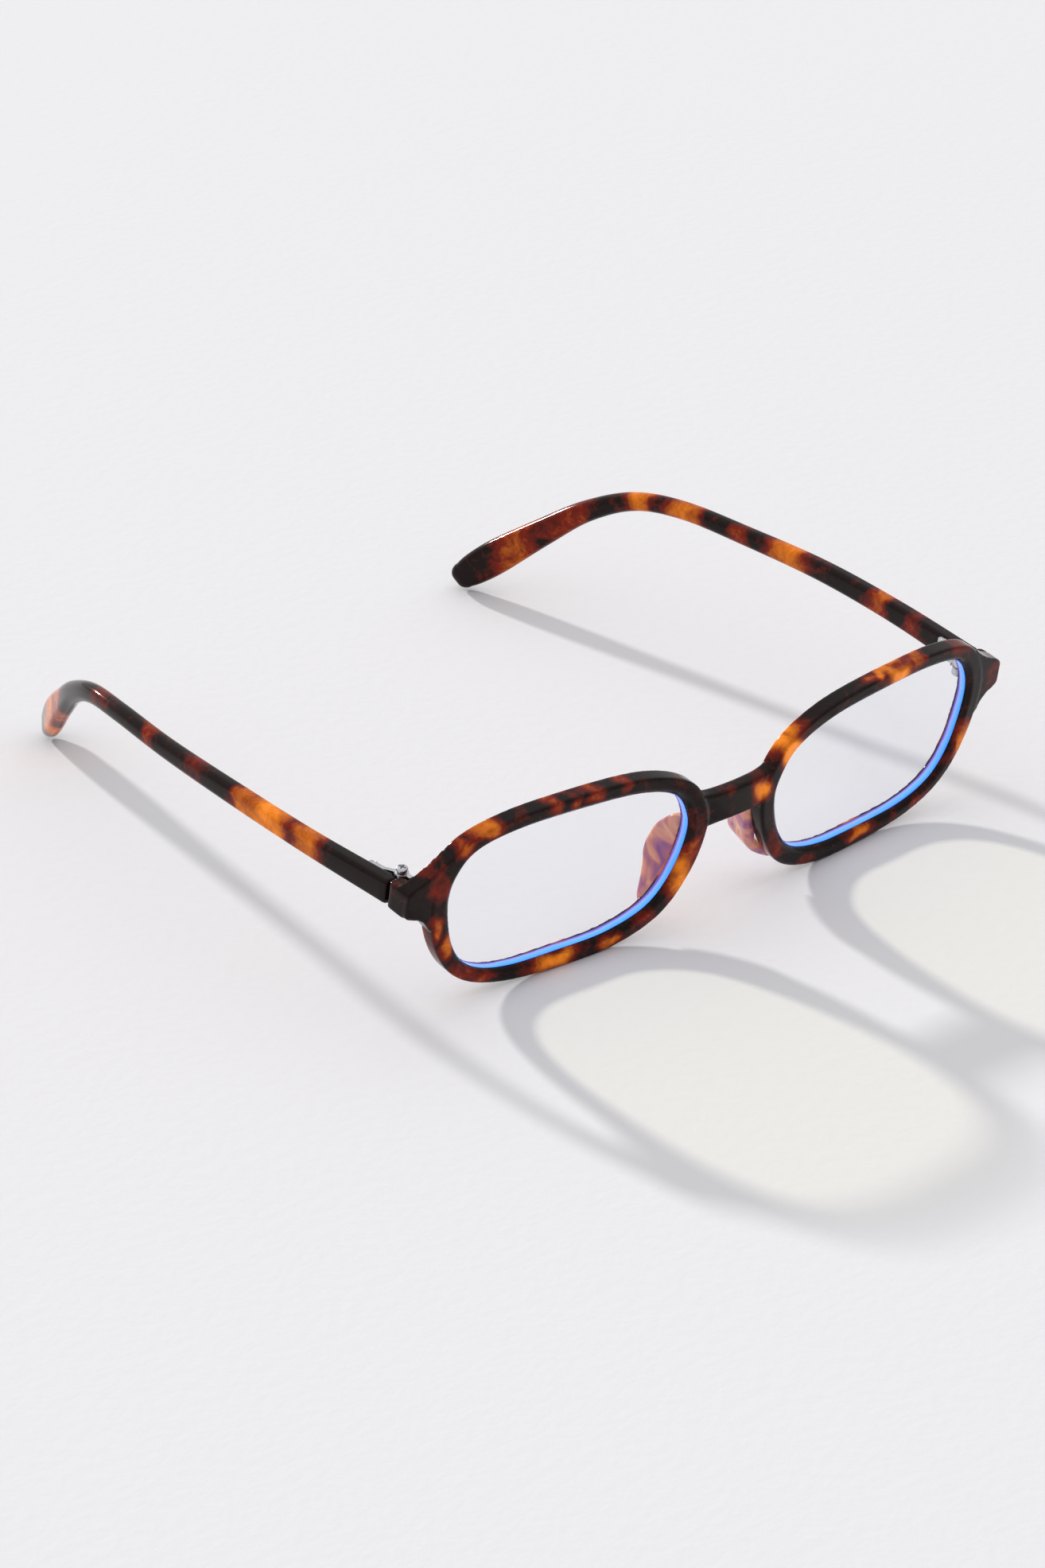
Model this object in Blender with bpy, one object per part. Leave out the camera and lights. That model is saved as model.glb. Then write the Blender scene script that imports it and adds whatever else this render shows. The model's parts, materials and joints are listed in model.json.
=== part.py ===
"""Full-rim plastic glasses: front, lenses, nose pads, temples and screw hinges.

Drawn with the front upright: X to the right, Y backwards along the temples, Z up.
The whole pair is then leaned onto its rims and temple tips, as it stands when open.
"""
import math

import bmesh
import bpy
import numpy as np
from mathutils import Vector

MM = 0.001

# overall sizes
LENS_WIDTH = 49.6
LENS_HEIGHT = 29.2
BRIDGE_GAP = 20.4
SHAFT_LENGTH = 75.0
TIP_DROP_LENGTH = 40.0

# the opening, as shares of half its width and half its height
OPENING_SHAPE = [(1.0, 0.22), (0.944, 0.63), (0.786, 0.89), (0.444, 1.0), (-0.04, 1.0), (-0.524, 0.938),
                 (-0.847, 0.74), (-0.984, 0.39), (-1.0, 0.048), (-0.907, -0.432), (-0.726, -0.795),
                 (-0.403, -0.973), (0.0, -1.0), (0.444, -0.979), (0.746, -0.808), (0.919, -0.432)]
LENS_CENTRE = (BRIDGE_GAP / 2 + LENS_WIDTH / 2, 15.8)
LENS_SIDE = BRIDGE_GAP / 2 + LENS_WIDTH
# width of the rim face, from the nose side round over the bottom
RIM_WIDTHS = [3.9, 3.4, 3.8, 3.35, 3.1, 2.95, 2.85, 2.8, 3.9, 3.5, 3.65, 3.15, 3.05, 3.25, 3.7, 3.55]
FRONT_DEPTH = 3.2
SIDE_LEAN = 0.0745
SIDE_CURVE = 0.0009
CURVE_START = 35.0
NOSE_SOFTNESS = 4.0
RIM_STATIONS = 72
EDGE = 0.5

# lens and its groove
CLEARANCE = 0.3
GROOVE_DEPTH = 0.9
GROOVE_HALF = 0.58
GROOVE_MIDDLE = 1.78
LENS_THICKNESS = 1.6

BRIDGE_HEIGHT = 6.3
BRIDGE_RISE = 4.95
BRIDGE_SET_BACK = 0.35

# temples: share of the run, outward bow, rise of the middle, thickness and height shares, corner
TEMPLE_THICKNESS = 3.0
TEMPLE_HEIGHT = 4.5
SHAFT = [(0.0, 0.0, 0.0, 1.0, 1.04, 0.8), (0.26, 1.45, -1.7, 1.0, 0.93, 1.0),
         (0.53, 1.75, -3.8, 1.0, 0.89, 1.2), (0.79, 0.75, -6.6, 1.03, 0.82, 1.4),
         (1.0, -0.95, -8.9, 1.07, 0.78, 1.5)]
# the dropped tip, as shares of its length: inward, backward and down from the bend
TIP = [(0.06, 0.275, -0.08, 1.07, 0.80, 1.5), (0.14, 0.50, -0.23, 1.07, 0.93, 1.5),
       (0.23, 0.6875, -0.4225, 1.07, 1.2, 1.5), (0.325, 0.8625, -0.6175, 1.07, 1.51, 1.5),
       (0.4075, 1.00, -0.78, 1.07, 1.6, 1.6)]
TIP_ROUNDING = [(1.0, 0.93), (1.9, 0.72), (2.5, 0.36)]

# end pieces
END_OUT = 8.8
END_HEIGHT = 5.1
RETURN_LENGTH = 2.3
END_OUTER = LENS_SIDE + END_OUT - 0.1

# hinge
KNUCKLE_RADIUS = 1.3
MIDDLE_KNUCKLE = 1.5
HINGE_HEIGHT = 5.1
LEAF_THICKNESS = 0.9
TANG_DEPTH = 1.7
TEMPLE_LEAF_REACH = 6.3
TEMPLE_LEAF_TURN = 0.75
LEAF_HEIGHT = 3.7
LEAF_FALL = 0.11
RIVETS = [3.9, 5.1]
RIVET_RADIUS = 0.4
SCREW_RADIUS = 0.5
SCREW_HEAD_RADIUS = 1.05
SCREW_HEAD_HEIGHT = 0.75

PAD_THICKNESS = 2.2
PAD_REACH = 6.9
# nose pad: place on the rim from the nose side of the opening and the lens centre, share of its reach
PAD_RUN = [(-3.0, 2.4, 0.06), (-3.0, 1.6, 0.44), (-2.9, -1.4, 0.83), (-2.6, -4.6, 1.0), (-1.9, -6.8, 1.0),
           (-1.4, -8.8, 0.93), (0.7, -11.0, 0.67), (3.8, -13.2, 0.31), (4.8, -13.6, 0.06)]
# section of the pad: share of its reach, share of its thickness
PAD_SECTION = [(0.0, -0.5), (0.0, 0.5), (0.6, 0.5), (0.86, 0.42), (1.0, 0.18), (1.0, -0.18), (0.86, -0.42),
               (0.6, -0.5)]


def front_y(x):
    """Depth of the front face at a distance x from the middle."""
    lean = SIDE_LEAN * (math.hypot(x, NOSE_SOFTNESS) - NOSE_SOFTNESS)
    return lean + SIDE_CURVE * max(abs(x) - CURVE_START, 0.0) ** 2


OPENING = [(LENS_CENTRE[0] + x * LENS_WIDTH / 2, LENS_CENTRE[1] + z * LENS_HEIGHT / 2)
           for x, z in OPENING_SHAPE]
END_MIDDLE = LENS_CENTRE[1] + 4.95
END_BACK = front_y(END_OUTER) + FRONT_DEPTH + RETURN_LENGTH
TEMPLE_START = END_BACK + CLEARANCE
AXIS_X = END_OUTER - TEMPLE_THICKNESS - 0.7
AXIS_Y = END_BACK + 0.8
HINGE_BOTTOM = END_MIDDLE - HINGE_HEIGHT / 2
HINGE_TOP = END_MIDDLE + HINGE_HEIGHT / 2
LEAF_OUTER = 0.1
LEAF_INNER = LEAF_OUTER - LEAF_THICKNESS
LEAF_BOTTOM = END_MIDDLE - LEAF_HEIGHT / 2
LEAF_TOP = END_MIDDLE + LEAF_HEIGHT / 2
RIVET_HEIGHT = LEAF_TOP - LEAF_FALL * TEMPLE_LEAF_REACH - RIVET_RADIUS
FRONT_LEAF_REACH = AXIS_Y - (front_y(AXIS_X) + FRONT_DEPTH) + TANG_DEPTH


def clear_scene():
    for item in list(bpy.data.objects):
        bpy.data.objects.remove(item, do_unlink=True)


def material(name, colour, roughness, metallic=0.0, alpha=1.0):
    mat = bpy.data.materials.new(name)
    mat.use_nodes = True
    shader = mat.node_tree.nodes["Principled BSDF"]
    shader.inputs["Base Color"].default_value = (*colour, 1.0)
    shader.inputs["Roughness"].default_value = roughness
    shader.inputs["Metallic"].default_value = metallic
    shader.inputs["Alpha"].default_value = alpha
    return mat


def plastic(name):
    return material(name, (0.09, 0.03, 0.02), 0.12)


def lens_glass(name):
    return material(name, (0.85, 0.92, 0.97), 0.03, alpha=0.35)


def hinge_metal(name):
    return material(name, (0.62, 0.62, 0.64), 0.28, metallic=1.0)


def new_object(name, bm, mat, parent=None):
    """Turn a mesh in millimetres into a named object."""
    bmesh.ops.scale(bm, vec=(MM, MM, MM), verts=bm.verts)
    bmesh.ops.recalc_face_normals(bm, faces=bm.faces)
    mesh = bpy.data.meshes.new(name)
    bm.to_mesh(mesh)
    bm.free()
    mesh.shade_smooth()
    mesh.set_sharp_from_angle(angle=math.radians(32))
    item = bpy.data.objects.new(name, mesh)
    bpy.context.collection.objects.link(item)
    if mat is not None:
        mesh.materials.append(mat)
    item.parent = parent
    return item


def empty(name, location, parent):
    item = bpy.data.objects.new(name, None)
    bpy.context.collection.objects.link(item)
    item.location = location
    item.parent = parent
    return item


def combine(item, tool, operation):
    """Join or cut with another closed solid."""
    tool.hide_render = True
    tool.display_type = "WIRE"
    step = item.modifiers.new(operation.lower(), "BOOLEAN")
    step.operation = operation
    step.solver = "EXACT"
    step.object = tool


def smooth_loop(points, per_side=24):
    """Closed rounded curve through the points."""
    p = np.array(points, float)
    t = np.linspace(0.0, 1.0, per_side, endpoint=False)[:, None]
    parts = []
    for i in range(len(p)):
        a, b, c, d = p[i - 1], p[i], p[(i + 1) % len(p)], p[(i + 2) % len(p)]
        parts.append(0.5 * (2 * b + (c - a) * t + (2 * a - 5 * b + 4 * c - d) * t ** 2
                            + (3 * b - a - 3 * c + d) * t ** 3))
    return np.vstack(parts)


def radii(points, angles):
    """Distance from the lens centre to a closed curve, at each angle."""
    loop = smooth_loop(points) - np.array(LENS_CENTRE)
    turn = np.arctan2(loop[:, 1], loop[:, 0])
    return np.interp(angles, turn[np.argsort(turn)],
                     np.hypot(loop[:, 0], loop[:, 1])[np.argsort(turn)], period=2 * math.pi)


def smooth_interp(angles, around, values):
    """Values at the angles, from a periodic list, with soft steps between them."""
    fine = np.interp(np.linspace(-math.pi, math.pi, 361), np.append(around, math.pi),
                     np.append(values, values[0]))
    soft = np.convolve(np.tile(fine[:-1], 3), np.hanning(27) / np.hanning(27).sum(), "same")[360:720]
    return np.interp(angles, np.linspace(-math.pi, math.pi, 360, endpoint=False), soft, period=2 * math.pi)


def station_angles(count=RIM_STATIONS):
    """Angles about the lens centre that are evenly spaced along the opening."""
    fine = np.linspace(-math.pi, math.pi, 1441)
    r = radii(OPENING, fine)
    xy = np.stack([r * np.cos(fine), r * np.sin(fine)], 1)
    length = np.concatenate([[0], np.cumsum(np.linalg.norm(np.diff(xy, axis=0), axis=1))])
    return np.interp(np.linspace(0, length[-1], count, endpoint=False), length, fine)


def rim_profile(width):
    """Section of the rim: distance out from the lip, and depth behind the front face."""
    d = FRONT_DEPTH
    g = GROOVE_MIDDLE
    return [(0.9, 0.0), (width - EDGE, 0.0), (width, EDGE), (width, d - EDGE), (width - EDGE, d),
            (0.4, d), (0.0, d - 0.4), (0.0, g + GROOVE_HALF), (GROOVE_DEPTH, g), (0.0, g - GROOVE_HALF),
            (0.0, 0.7)]


def add_rings(bm, rings, closed_profile=True):
    """Skin a list of equal rings of vertices, joined end to start."""
    count = len(rings)
    size = len(rings[0])
    for i in range(count):
        one, two = rings[i], rings[(i + 1) % count]
        for j in range(size if closed_profile else size - 1):
            k = (j + 1) % size
            bm.faces.new((one[j], one[k], two[k], two[j]))


def add_rim(bm, side):
    angles = station_angles()
    inner = radii(OPENING, angles)
    around = np.linspace(-math.pi, math.pi, len(RIM_WIDTHS), endpoint=False)
    outer = inner + smooth_interp(angles, around, RIM_WIDTHS)
    rings = []
    for angle, r_in, r_out in zip(angles, inner, outer):
        ring = []
        for out, depth in rim_profile(r_out - r_in):
            x = LENS_CENTRE[0] + (r_in + out) * math.cos(angle)
            z = LENS_CENTRE[1] + (r_in + out) * math.sin(angle)
            ring.append(bm.verts.new((side * x, front_y(x) + depth, z)))
        rings.append(ring)
    add_rings(bm, rings)


def add_prism(bm, outline, near, far):
    """Closed solid between two copies of an outline."""
    first = [bm.verts.new(near(*p)) for p in outline]
    last = [bm.verts.new(far(*p)) for p in outline]
    bm.faces.new(first)
    bm.faces.new(list(reversed(last)))
    for i in range(len(outline)):
        j = (i + 1) % len(outline)
        bm.faces.new((first[i], last[i], last[j], first[j]))


def add_bridge(bm):
    """Bridge swept from rim to rim."""
    low = LENS_CENTRE[1] + BRIDGE_RISE - BRIDGE_HEIGHT / 2
    high = low + BRIDGE_HEIGHT
    half = BRIDGE_GAP / 2 - GROOVE_DEPTH - 0.7
    near, far = BRIDGE_SET_BACK, FRONT_DEPTH - 0.15
    section = [(near, low + 0.5), (near, high - 0.5), (near + 0.5, high), (far - 0.6, high),
               (far, high - 0.6), (far, low + 0.6), (far - 0.6, low), (near + 0.5, low)]
    rings = []
    for x in np.linspace(-half, half, 15):
        rings.append([bm.verts.new((x, front_y(x) + depth, z)) for depth, z in section])
    for one, two in zip(rings[:-1], rings[1:]):
        for j in range(len(section)):
            k = (j + 1) % len(section)
            bm.faces.new((one[j], one[k], two[k], two[j]))
    bm.faces.new(rings[0])
    bm.faces.new(list(reversed(rings[-1])))


def add_end_face(bm, side):
    """Front part of the end piece: from the rim out to the corner."""
    inside = LENS_SIDE + GROOVE_DEPTH + 0.5
    corner = LENS_SIDE + END_OUT - 0.2
    low, high = END_MIDDLE - END_HEIGHT / 2 + 0.2, END_MIDDLE + END_HEIGHT / 2 + 0.1
    outline = [(inside, low - 1.2), (inside + 3.3, low - 1.0), (corner - 1.8, low - 0.4), (corner, low),
               (corner, high), (corner - 2.8, high + 1.3), (corner - 5.3, high + 2.6), (inside, high + 3.5)]
    slope = (front_y(corner) - front_y(inside)) / (corner - inside)
    near = front_y(inside) + 0.12
    add_prism(bm, outline, lambda x, z: (side * x, near + slope * (x - inside), z),
              lambda x, z: (side * x, near + slope * (x - inside) + FRONT_DEPTH - 0.24, z))


def add_end_return(bm, side):
    """Rear part of the end piece: a stub that meets the temple end to end."""
    front = front_y(END_OUTER) + 0.45
    back = front_y(END_OUTER) + FRONT_DEPTH
    inner = END_OUTER - TEMPLE_THICKNESS - 0.2
    outline = [(inner - 0.9, front), (END_OUTER - 0.5, front + 0.2), (END_OUTER - 0.15, front + 0.8),
               (END_OUTER, END_BACK), (inner, END_BACK), (inner, back - 0.15)]
    low, high = END_MIDDLE - END_HEIGHT / 2, END_MIDDLE + END_HEIGHT / 2
    add_prism(bm, outline, lambda x, y: (side * x, y, low), lambda x, y: (side * x, y, high))


def add_round(bm, centre, radius, low, high, segments=32):
    ring = [(centre[0] + radius * math.cos(2 * math.pi * i / segments),
             centre[1] + radius * math.sin(2 * math.pi * i / segments)) for i in range(segments)]
    add_prism(bm, ring, lambda x, y: (x, y, low), lambda x, y: (x, y, high))


def frame_front(parent):
    bm = bmesh.new()
    add_rim(bm, 1)
    add_rim(bm, -1)
    front = new_object("frame_front", bm, plastic("tortoise_front"), parent)
    bm = bmesh.new()
    add_bridge(bm)
    combine(front, new_object("bridge_tool", bm, None, parent), "UNION")
    bm = bmesh.new()
    add_end_face(bm, 1)
    add_end_face(bm, -1)
    combine(front, new_object("end_face_tool", bm, None, parent), "UNION")
    bm = bmesh.new()
    add_end_return(bm, 1)
    add_end_return(bm, -1)
    combine(front, new_object("end_return_tool", bm, None, parent), "UNION")
    bm = bmesh.new()
    for side in (1, -1):
        add_round(bm, (side * AXIS_X, AXIS_Y), KNUCKLE_RADIUS + CLEARANCE, HINGE_BOTTOM - 8.0,
                  HINGE_TOP + 8.0)
    combine(front, new_object("knuckle_room_front_tool", bm, None, parent), "DIFFERENCE")
    return front


def lens(name, side, parent):
    """Lens with a V-edge that stands in the rim groove, clear of it all round."""
    angles = station_angles()
    inner = radii(OPENING, angles) - CLEARANCE
    front, back = GROOVE_MIDDLE - LENS_THICKNESS / 2, GROOVE_MIDDLE + LENS_THICKNESS / 2
    edge = GROOVE_DEPTH - 0.35 + CLEARANCE
    profile = [(0.35, 0.0, front), (0.7, 0.0, front), (1.0, -0.15, front), (1.0, 0.0, front + 0.2),
               (1.0, 0.0, GROOVE_MIDDLE - 0.4), (1.0, edge, GROOVE_MIDDLE), (1.0, 0.0, GROOVE_MIDDLE + 0.4),
               (1.0, 0.0, back - 0.2), (1.0, -0.15, back), (0.7, 0.0, back), (0.35, 0.0, back)]
    bm = bmesh.new()
    rings = []
    for share, out, depth in profile:
        ring = []
        for angle, r in zip(angles, inner):
            x = LENS_CENTRE[0] + (r * share + out) * math.cos(angle)
            z = LENS_CENTRE[1] + (r * share + out) * math.sin(angle)
            ring.append(bm.verts.new((side * x, front_y(x) + depth, z)))
        rings.append(ring)
    for one, two in zip(rings[:-1], rings[1:]):
        for j in range(len(one)):
            k = (j + 1) % len(one)
            bm.faces.new((one[j], one[k], two[k], two[j]))
    for ring, depth in ((rings[0], front), (rings[-1], back)):
        x, z = LENS_CENTRE
        middle = bm.verts.new((side * x, front_y(x) + depth, z))
        for j in range(len(ring)):
            bm.faces.new((middle, ring[j], ring[(j + 1) % len(ring)]))
    return new_object(name, bm, lens_glass(name + "_glass"), parent)


def nose_pad(name, side, parent):
    """Ear-shaped pad that stands back from the nose side of the rim."""
    run = smooth_open(PAD_RUN, 5)
    bm = bmesh.new()
    rings = []
    for i, (out, rise, share) in enumerate(run):
        step = run[min(i + 1, len(run) - 1)] - run[max(i - 1, 0)]
        across = Vector((-step[1], 0.0, step[0])).normalized() * PAD_THICKNESS
        base = Vector((BRIDGE_GAP / 2 + out, 0.0, LENS_CENTRE[1] + rise))
        ring = []
        for reach, thick in PAD_SECTION:
            back = reach * share * PAD_REACH
            p = base + across * thick
            y = front_y(base.x) + FRONT_DEPTH + CLEARANCE + 0.15 + 0.98 * back
            ring.append(bm.verts.new((side * (p.x + 0.2 * back), y, p.z)))
        rings.append(ring)
    for one, two in zip(rings[:-1], rings[1:]):
        for j in range(len(one)):
            k = (j + 1) % len(one)
            bm.faces.new((one[j], one[k], two[k], two[j]))
    bm.faces.new(rings[0])
    bm.faces.new(list(reversed(rings[-1])))
    return new_object(name, bm, material(name + "_plastic", (0.55, 0.25, 0.18), 0.15), parent)


def smooth_open(points, per_side):
    """Rounded curve through the points, with both ends kept."""
    p = np.array([points[0]] + list(points) + [points[-1]], float)
    out = []
    for i in range(1, len(p) - 2):
        a, b, c, d = p[i - 1], p[i], p[i + 1], p[i + 2]
        for t in np.arange(per_side) / per_side:
            out.append(0.5 * (2 * b + (c - a) * t + (2 * a - 5 * b + 4 * c - d) * t ** 2
                              + (3 * b - a - 3 * c + d) * t ** 3))
    out.append(p[-1])
    return np.array(out)


def temple_section(place, along, thickness, height, radius, corner=3):
    """Rounded section of the temple, square to its run."""
    across = along.cross(Vector((0, 0, 1))).normalized()
    up = across.cross(along).normalized()
    radius = min(radius, thickness / 2 - 0.02, height / 2 - 0.02)
    points = []
    for quarter, (sx, sz) in enumerate(((1, 1), (-1, 1), (-1, -1), (1, -1))):
        for k in range(corner + 1):
            turn = math.pi / 2 * (quarter + k / corner)
            a = sx * (thickness / 2 - radius) + radius * math.cos(turn)
            b = sz * (height / 2 - radius) + radius * math.sin(turn)
            points.append(place + across * a + up * b)
    return points


def temple_stations():
    """Middle of the temple, its thickness, height and corner, from the hinge to the tip."""
    start = (END_OUTER - TEMPLE_THICKNESS / 2 - 0.05, TEMPLE_START, END_MIDDLE - 0.25)
    out = []
    for share, bow, rise, thick, high, corner in SHAFT:
        out.append((start[0] + bow, start[1] + share * SHAFT_LENGTH, start[2] + rise,
                    thick * TEMPLE_THICKNESS, high * TEMPLE_HEIGHT, corner))
    bend = out[-1]
    for inward, back, down, thick, high, corner in TIP:
        out.append((bend[0] - inward * TIP_DROP_LENGTH, bend[1] + back * TIP_DROP_LENGTH,
                    bend[2] + down * TIP_DROP_LENGTH, thick * TEMPLE_THICKNESS, high * TEMPLE_HEIGHT, corner))
    return out


def temple_rings(per_side=5):
    run = smooth_open(temple_stations(), per_side)
    rings = []
    for i, station in enumerate(run):
        before, after = run[max(i - 1, 0)], run[min(i + 1, len(run) - 1)]
        along = Vector(after[:3] - before[:3]).normalized()
        if i == 0:
            along = Vector((0.0, 1.0, 0.0))
        rings.append(temple_section(Vector(station[:3]), along, *station[3:]))
    for ahead, scale in TIP_ROUNDING:
        place = Vector(run[-1][:3]) + along * ahead
        rings.append(temple_section(place, along, *(run[-1][3:] * scale)))
    return rings


def temple(name, side, pivot):
    bm = bmesh.new()
    origin = Vector((side * AXIS_X, AXIS_Y, 0.0))
    rings = []
    for ring in temple_rings():
        rings.append([bm.verts.new(Vector((side * p.x, p.y, p.z)) - origin) for p in ring])
    for one, two in zip(rings[:-1], rings[1:]):
        for j in range(len(one)):
            k = (j + 1) % len(one)
            bm.faces.new((one[j], one[k], two[k], two[j]))
    bm.faces.new(rings[0])
    bm.faces.new(list(reversed(rings[-1])))
    arm = new_object(name, bm, plastic(name + "_plastic"), pivot)
    bm = bmesh.new()
    add_round(bm, (0.0, 0.0), KNUCKLE_RADIUS + CLEARANCE, HINGE_BOTTOM - 8.0, HINGE_TOP + 8.0)
    combine(arm, new_object(name + "_room_tool", bm, None, pivot), "DIFFERENCE")
    return arm


def knuckle_levels():
    """Heights of the bottom, middle and top knuckles."""
    middle = (HINGE_BOTTOM + HINGE_TOP) / 2
    low = middle - MIDDLE_KNUCKLE / 2
    high = middle + MIDDLE_KNUCKLE / 2
    return (HINGE_BOTTOM, low - CLEARANCE), (low, high), (high + CLEARANCE, HINGE_TOP)


def knuckle_outline(toward):
    """Round knuckle with an arm that runs forwards (-1) or backwards (1) into its leaf."""
    r = KNUCKLE_RADIUS
    start = math.atan2(-math.sqrt(r * r - LEAF_OUTER ** 2), LEAF_OUTER)
    end = math.atan2(-math.sqrt(r * r - LEAF_INNER ** 2), LEAF_INNER) + 2 * math.pi
    reach = -(r + CLEARANCE + 0.4)
    points = [(LEAF_OUTER - 0.02, reach)]
    for turn in np.linspace(start, end, 27):
        points.append((r * math.cos(turn), r * math.sin(turn)))
    points.append((LEAF_INNER + 0.02, reach))
    return [(x, -toward * y) for x, y in points]


def add_level(bm, side, outline, low, high):
    add_prism(bm, outline, lambda x, y: (side * x, y, low), lambda x, y: (side * x, y, high))


def add_rivet(bm, side, y):
    """Small round rivet head on the inner face of the temple leaf."""
    face = LEAF_INNER + TEMPLE_LEAF_TURN * y / TEMPLE_LEAF_REACH
    turns = [2 * math.pi * i / 16 for i in range(16)]
    ring = [(y + RIVET_RADIUS * math.cos(t), RIVET_HEIGHT + RIVET_RADIUS * math.sin(t)) for t in turns]
    add_prism(bm, ring, lambda a, z: (side * (face - 0.25), a, z), lambda a, z: (side * (face + 0.4), a, z))


def hinge_leaf(name, side, toward, levels, plate, rivets, pivot):
    bm = bmesh.new()
    add_prism(bm, plate, lambda x, y: (side * x, y, LEAF_BOTTOM),
              lambda x, y: (side * x, y, LEAF_TOP - LEAF_FALL * max(y, 0.0)))
    leaf = new_object(name, bm, hinge_metal(name + "_metal"), pivot)
    bm = bmesh.new()
    for low, high in levels:
        add_level(bm, side, knuckle_outline(toward), low, high)
    for y in rivets:
        add_rivet(bm, side, y)
    combine(leaf, new_object(name + "_knuckle_tool", bm, None, pivot), "UNION")
    bm = bmesh.new()
    add_round(bm, (0.0, 0.0), SCREW_RADIUS + CLEARANCE, HINGE_BOTTOM - 5.0, HINGE_TOP + 5.0, 24)
    combine(leaf, new_object(name + "_bore_tool", bm, None, pivot), "DIFFERENCE")
    return leaf


def front_leaf(name, side, pivot):
    """Fixed leaf: two knuckles and a tang that sits in the end piece."""
    near = -(KNUCKLE_RADIUS + CLEARANCE + 0.05)
    plate = [(LEAF_INNER, near), (LEAF_OUTER, near), (LEAF_OUTER, -FRONT_LEAF_REACH),
             (LEAF_INNER, -FRONT_LEAF_REACH)]
    bottom, _, top = knuckle_levels()
    return hinge_leaf(name, side, -1, (bottom, top), plate, [], pivot)


def temple_leaf(name, side, pivot):
    """Moving leaf: one knuckle and a plate that follows the inner face of the temple."""
    near = KNUCKLE_RADIUS + CLEARANCE + 0.05
    shift = TEMPLE_LEAF_TURN * near / TEMPLE_LEAF_REACH
    end = TEMPLE_LEAF_REACH
    plate = [(LEAF_INNER, near), (LEAF_OUTER, near), (LEAF_OUTER + shift, near + 0.6),
             (LEAF_OUTER + TEMPLE_LEAF_TURN, end), (LEAF_INNER + TEMPLE_LEAF_TURN, end),
             (LEAF_INNER + shift, near + 0.6)]
    return hinge_leaf(name, side, 1, (knuckle_levels()[1],), plate, RIVETS, pivot)


def hinge_screw(name, pivot):
    """Screw through the knuckles, with a low round head and a cross recess."""
    bm = bmesh.new()
    under = HINGE_TOP + 0.25
    top = under + SCREW_HEAD_HEIGHT
    levels = [(SCREW_RADIUS - 0.15, HINGE_BOTTOM - 0.1), (SCREW_RADIUS, HINGE_BOTTOM + 0.1),
              (SCREW_RADIUS, under), (SCREW_HEAD_RADIUS, under), (SCREW_HEAD_RADIUS, top - 0.2),
              (SCREW_HEAD_RADIUS - 0.2, top)]
    rings = []
    for radius, z in levels:
        turns = [2 * math.pi * i / 28 for i in range(28)]
        rings.append([bm.verts.new((radius * math.cos(t), radius * math.sin(t), z)) for t in turns])
    for one, two in zip(rings[:-1], rings[1:]):
        for j in range(len(one)):
            k = (j + 1) % len(one)
            bm.faces.new((one[j], one[k], two[k], two[j]))
    bm.faces.new(rings[0])
    bm.faces.new(list(reversed(rings[-1])))
    screw = new_object(name, bm, hinge_metal(name + "_metal"), pivot)
    bm = bmesh.new()
    arm, half = 0.62, 0.16
    cross = [(half, half), (half, arm), (-half, arm), (-half, half), (-arm, half), (-arm, -half),
             (-half, -half), (-half, -arm), (half, -arm), (half, -half), (arm, -half), (arm, half)]
    add_prism(bm, cross, lambda x, y: (x, y, top - 0.35), lambda x, y: (x, y, top + 0.5))
    combine(screw, new_object(name + "_recess_tool", bm, None, pivot), "DIFFERENCE")
    return screw


def add_box(bm, low, high):
    outline = [(low[0], low[1]), (high[0], low[1]), (high[0], high[1]), (low[0], high[1])]
    add_prism(bm, outline, lambda x, y: (x, y, low[2]), lambda x, y: (x, y, high[2]))


def cut_tang_slots(front, parent):
    """Slots in the back of the end pieces for the tangs of the front leaves."""
    bm = bmesh.new()
    for side in (1, -1):
        across = sorted((side * (AXIS_X + LEAF_INNER - CLEARANCE), side * (AXIS_X + LEAF_OUTER + CLEARANCE)))
        deepest = AXIS_Y - FRONT_LEAF_REACH - CLEARANCE
        add_box(bm, (across[0], deepest, LEAF_BOTTOM - CLEARANCE),
                (across[1], AXIS_Y, LEAF_TOP + CLEARANCE))
    combine(front, new_object("tang_slot_tool", bm, None, parent), "DIFFERENCE")


def lowest(points, tilt):
    """Height of the lowest point of a piece leaned back by the tilt."""
    return min(y * math.sin(tilt) + z * math.cos(tilt) for _, y, z in points)


def stand_up(stand, front, arm):
    """Lean the pair until the rims and the temple tips touch the same level."""
    rims = [v.co for v in front.data.vertices]
    tips = [v.co + arm.parent.location for v in arm.data.vertices]
    low, high = 0.0, math.radians(25)
    for _ in range(40):
        tilt = (low + high) / 2
        if lowest(tips, tilt) < lowest(rims, tilt):
            low = tilt
        else:
            high = tilt
    depths = [p.y * math.cos(tilt) - p.z * math.sin(tilt) for p in rims + tips]
    stand.rotation_euler = (tilt, 0.0, 0.0)
    stand.location = (0.0, -(min(depths) + max(depths)) / 2, -lowest(rims, tilt))


def main():
    clear_scene()
    stand = empty("standing_pose", (0.0, 0.0, 0.0), None)
    front = frame_front(stand)
    cut_tang_slots(front, stand)
    for side, hand in ((1, "right"), (-1, "left")):
        lens(hand + "_lens", side, stand)
        nose_pad(hand + "_nose_pad", side, stand)
        axis = (side * AXIS_X * MM, AXIS_Y * MM, 0.0)
        fixed = empty(hand + "_hinge_axis", axis, stand)
        moving = empty(hand + "_temple_fold_axis", axis, stand)
        front_leaf(hand + "_front_hinge_leaf", side, fixed)
        hinge_screw(hand + "_hinge_screw", fixed)
        temple_leaf(hand + "_temple_hinge_leaf", side, moving)
        arm = temple(hand + "_temple", side, moving)
    stand_up(stand, front, arm)


main()
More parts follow.
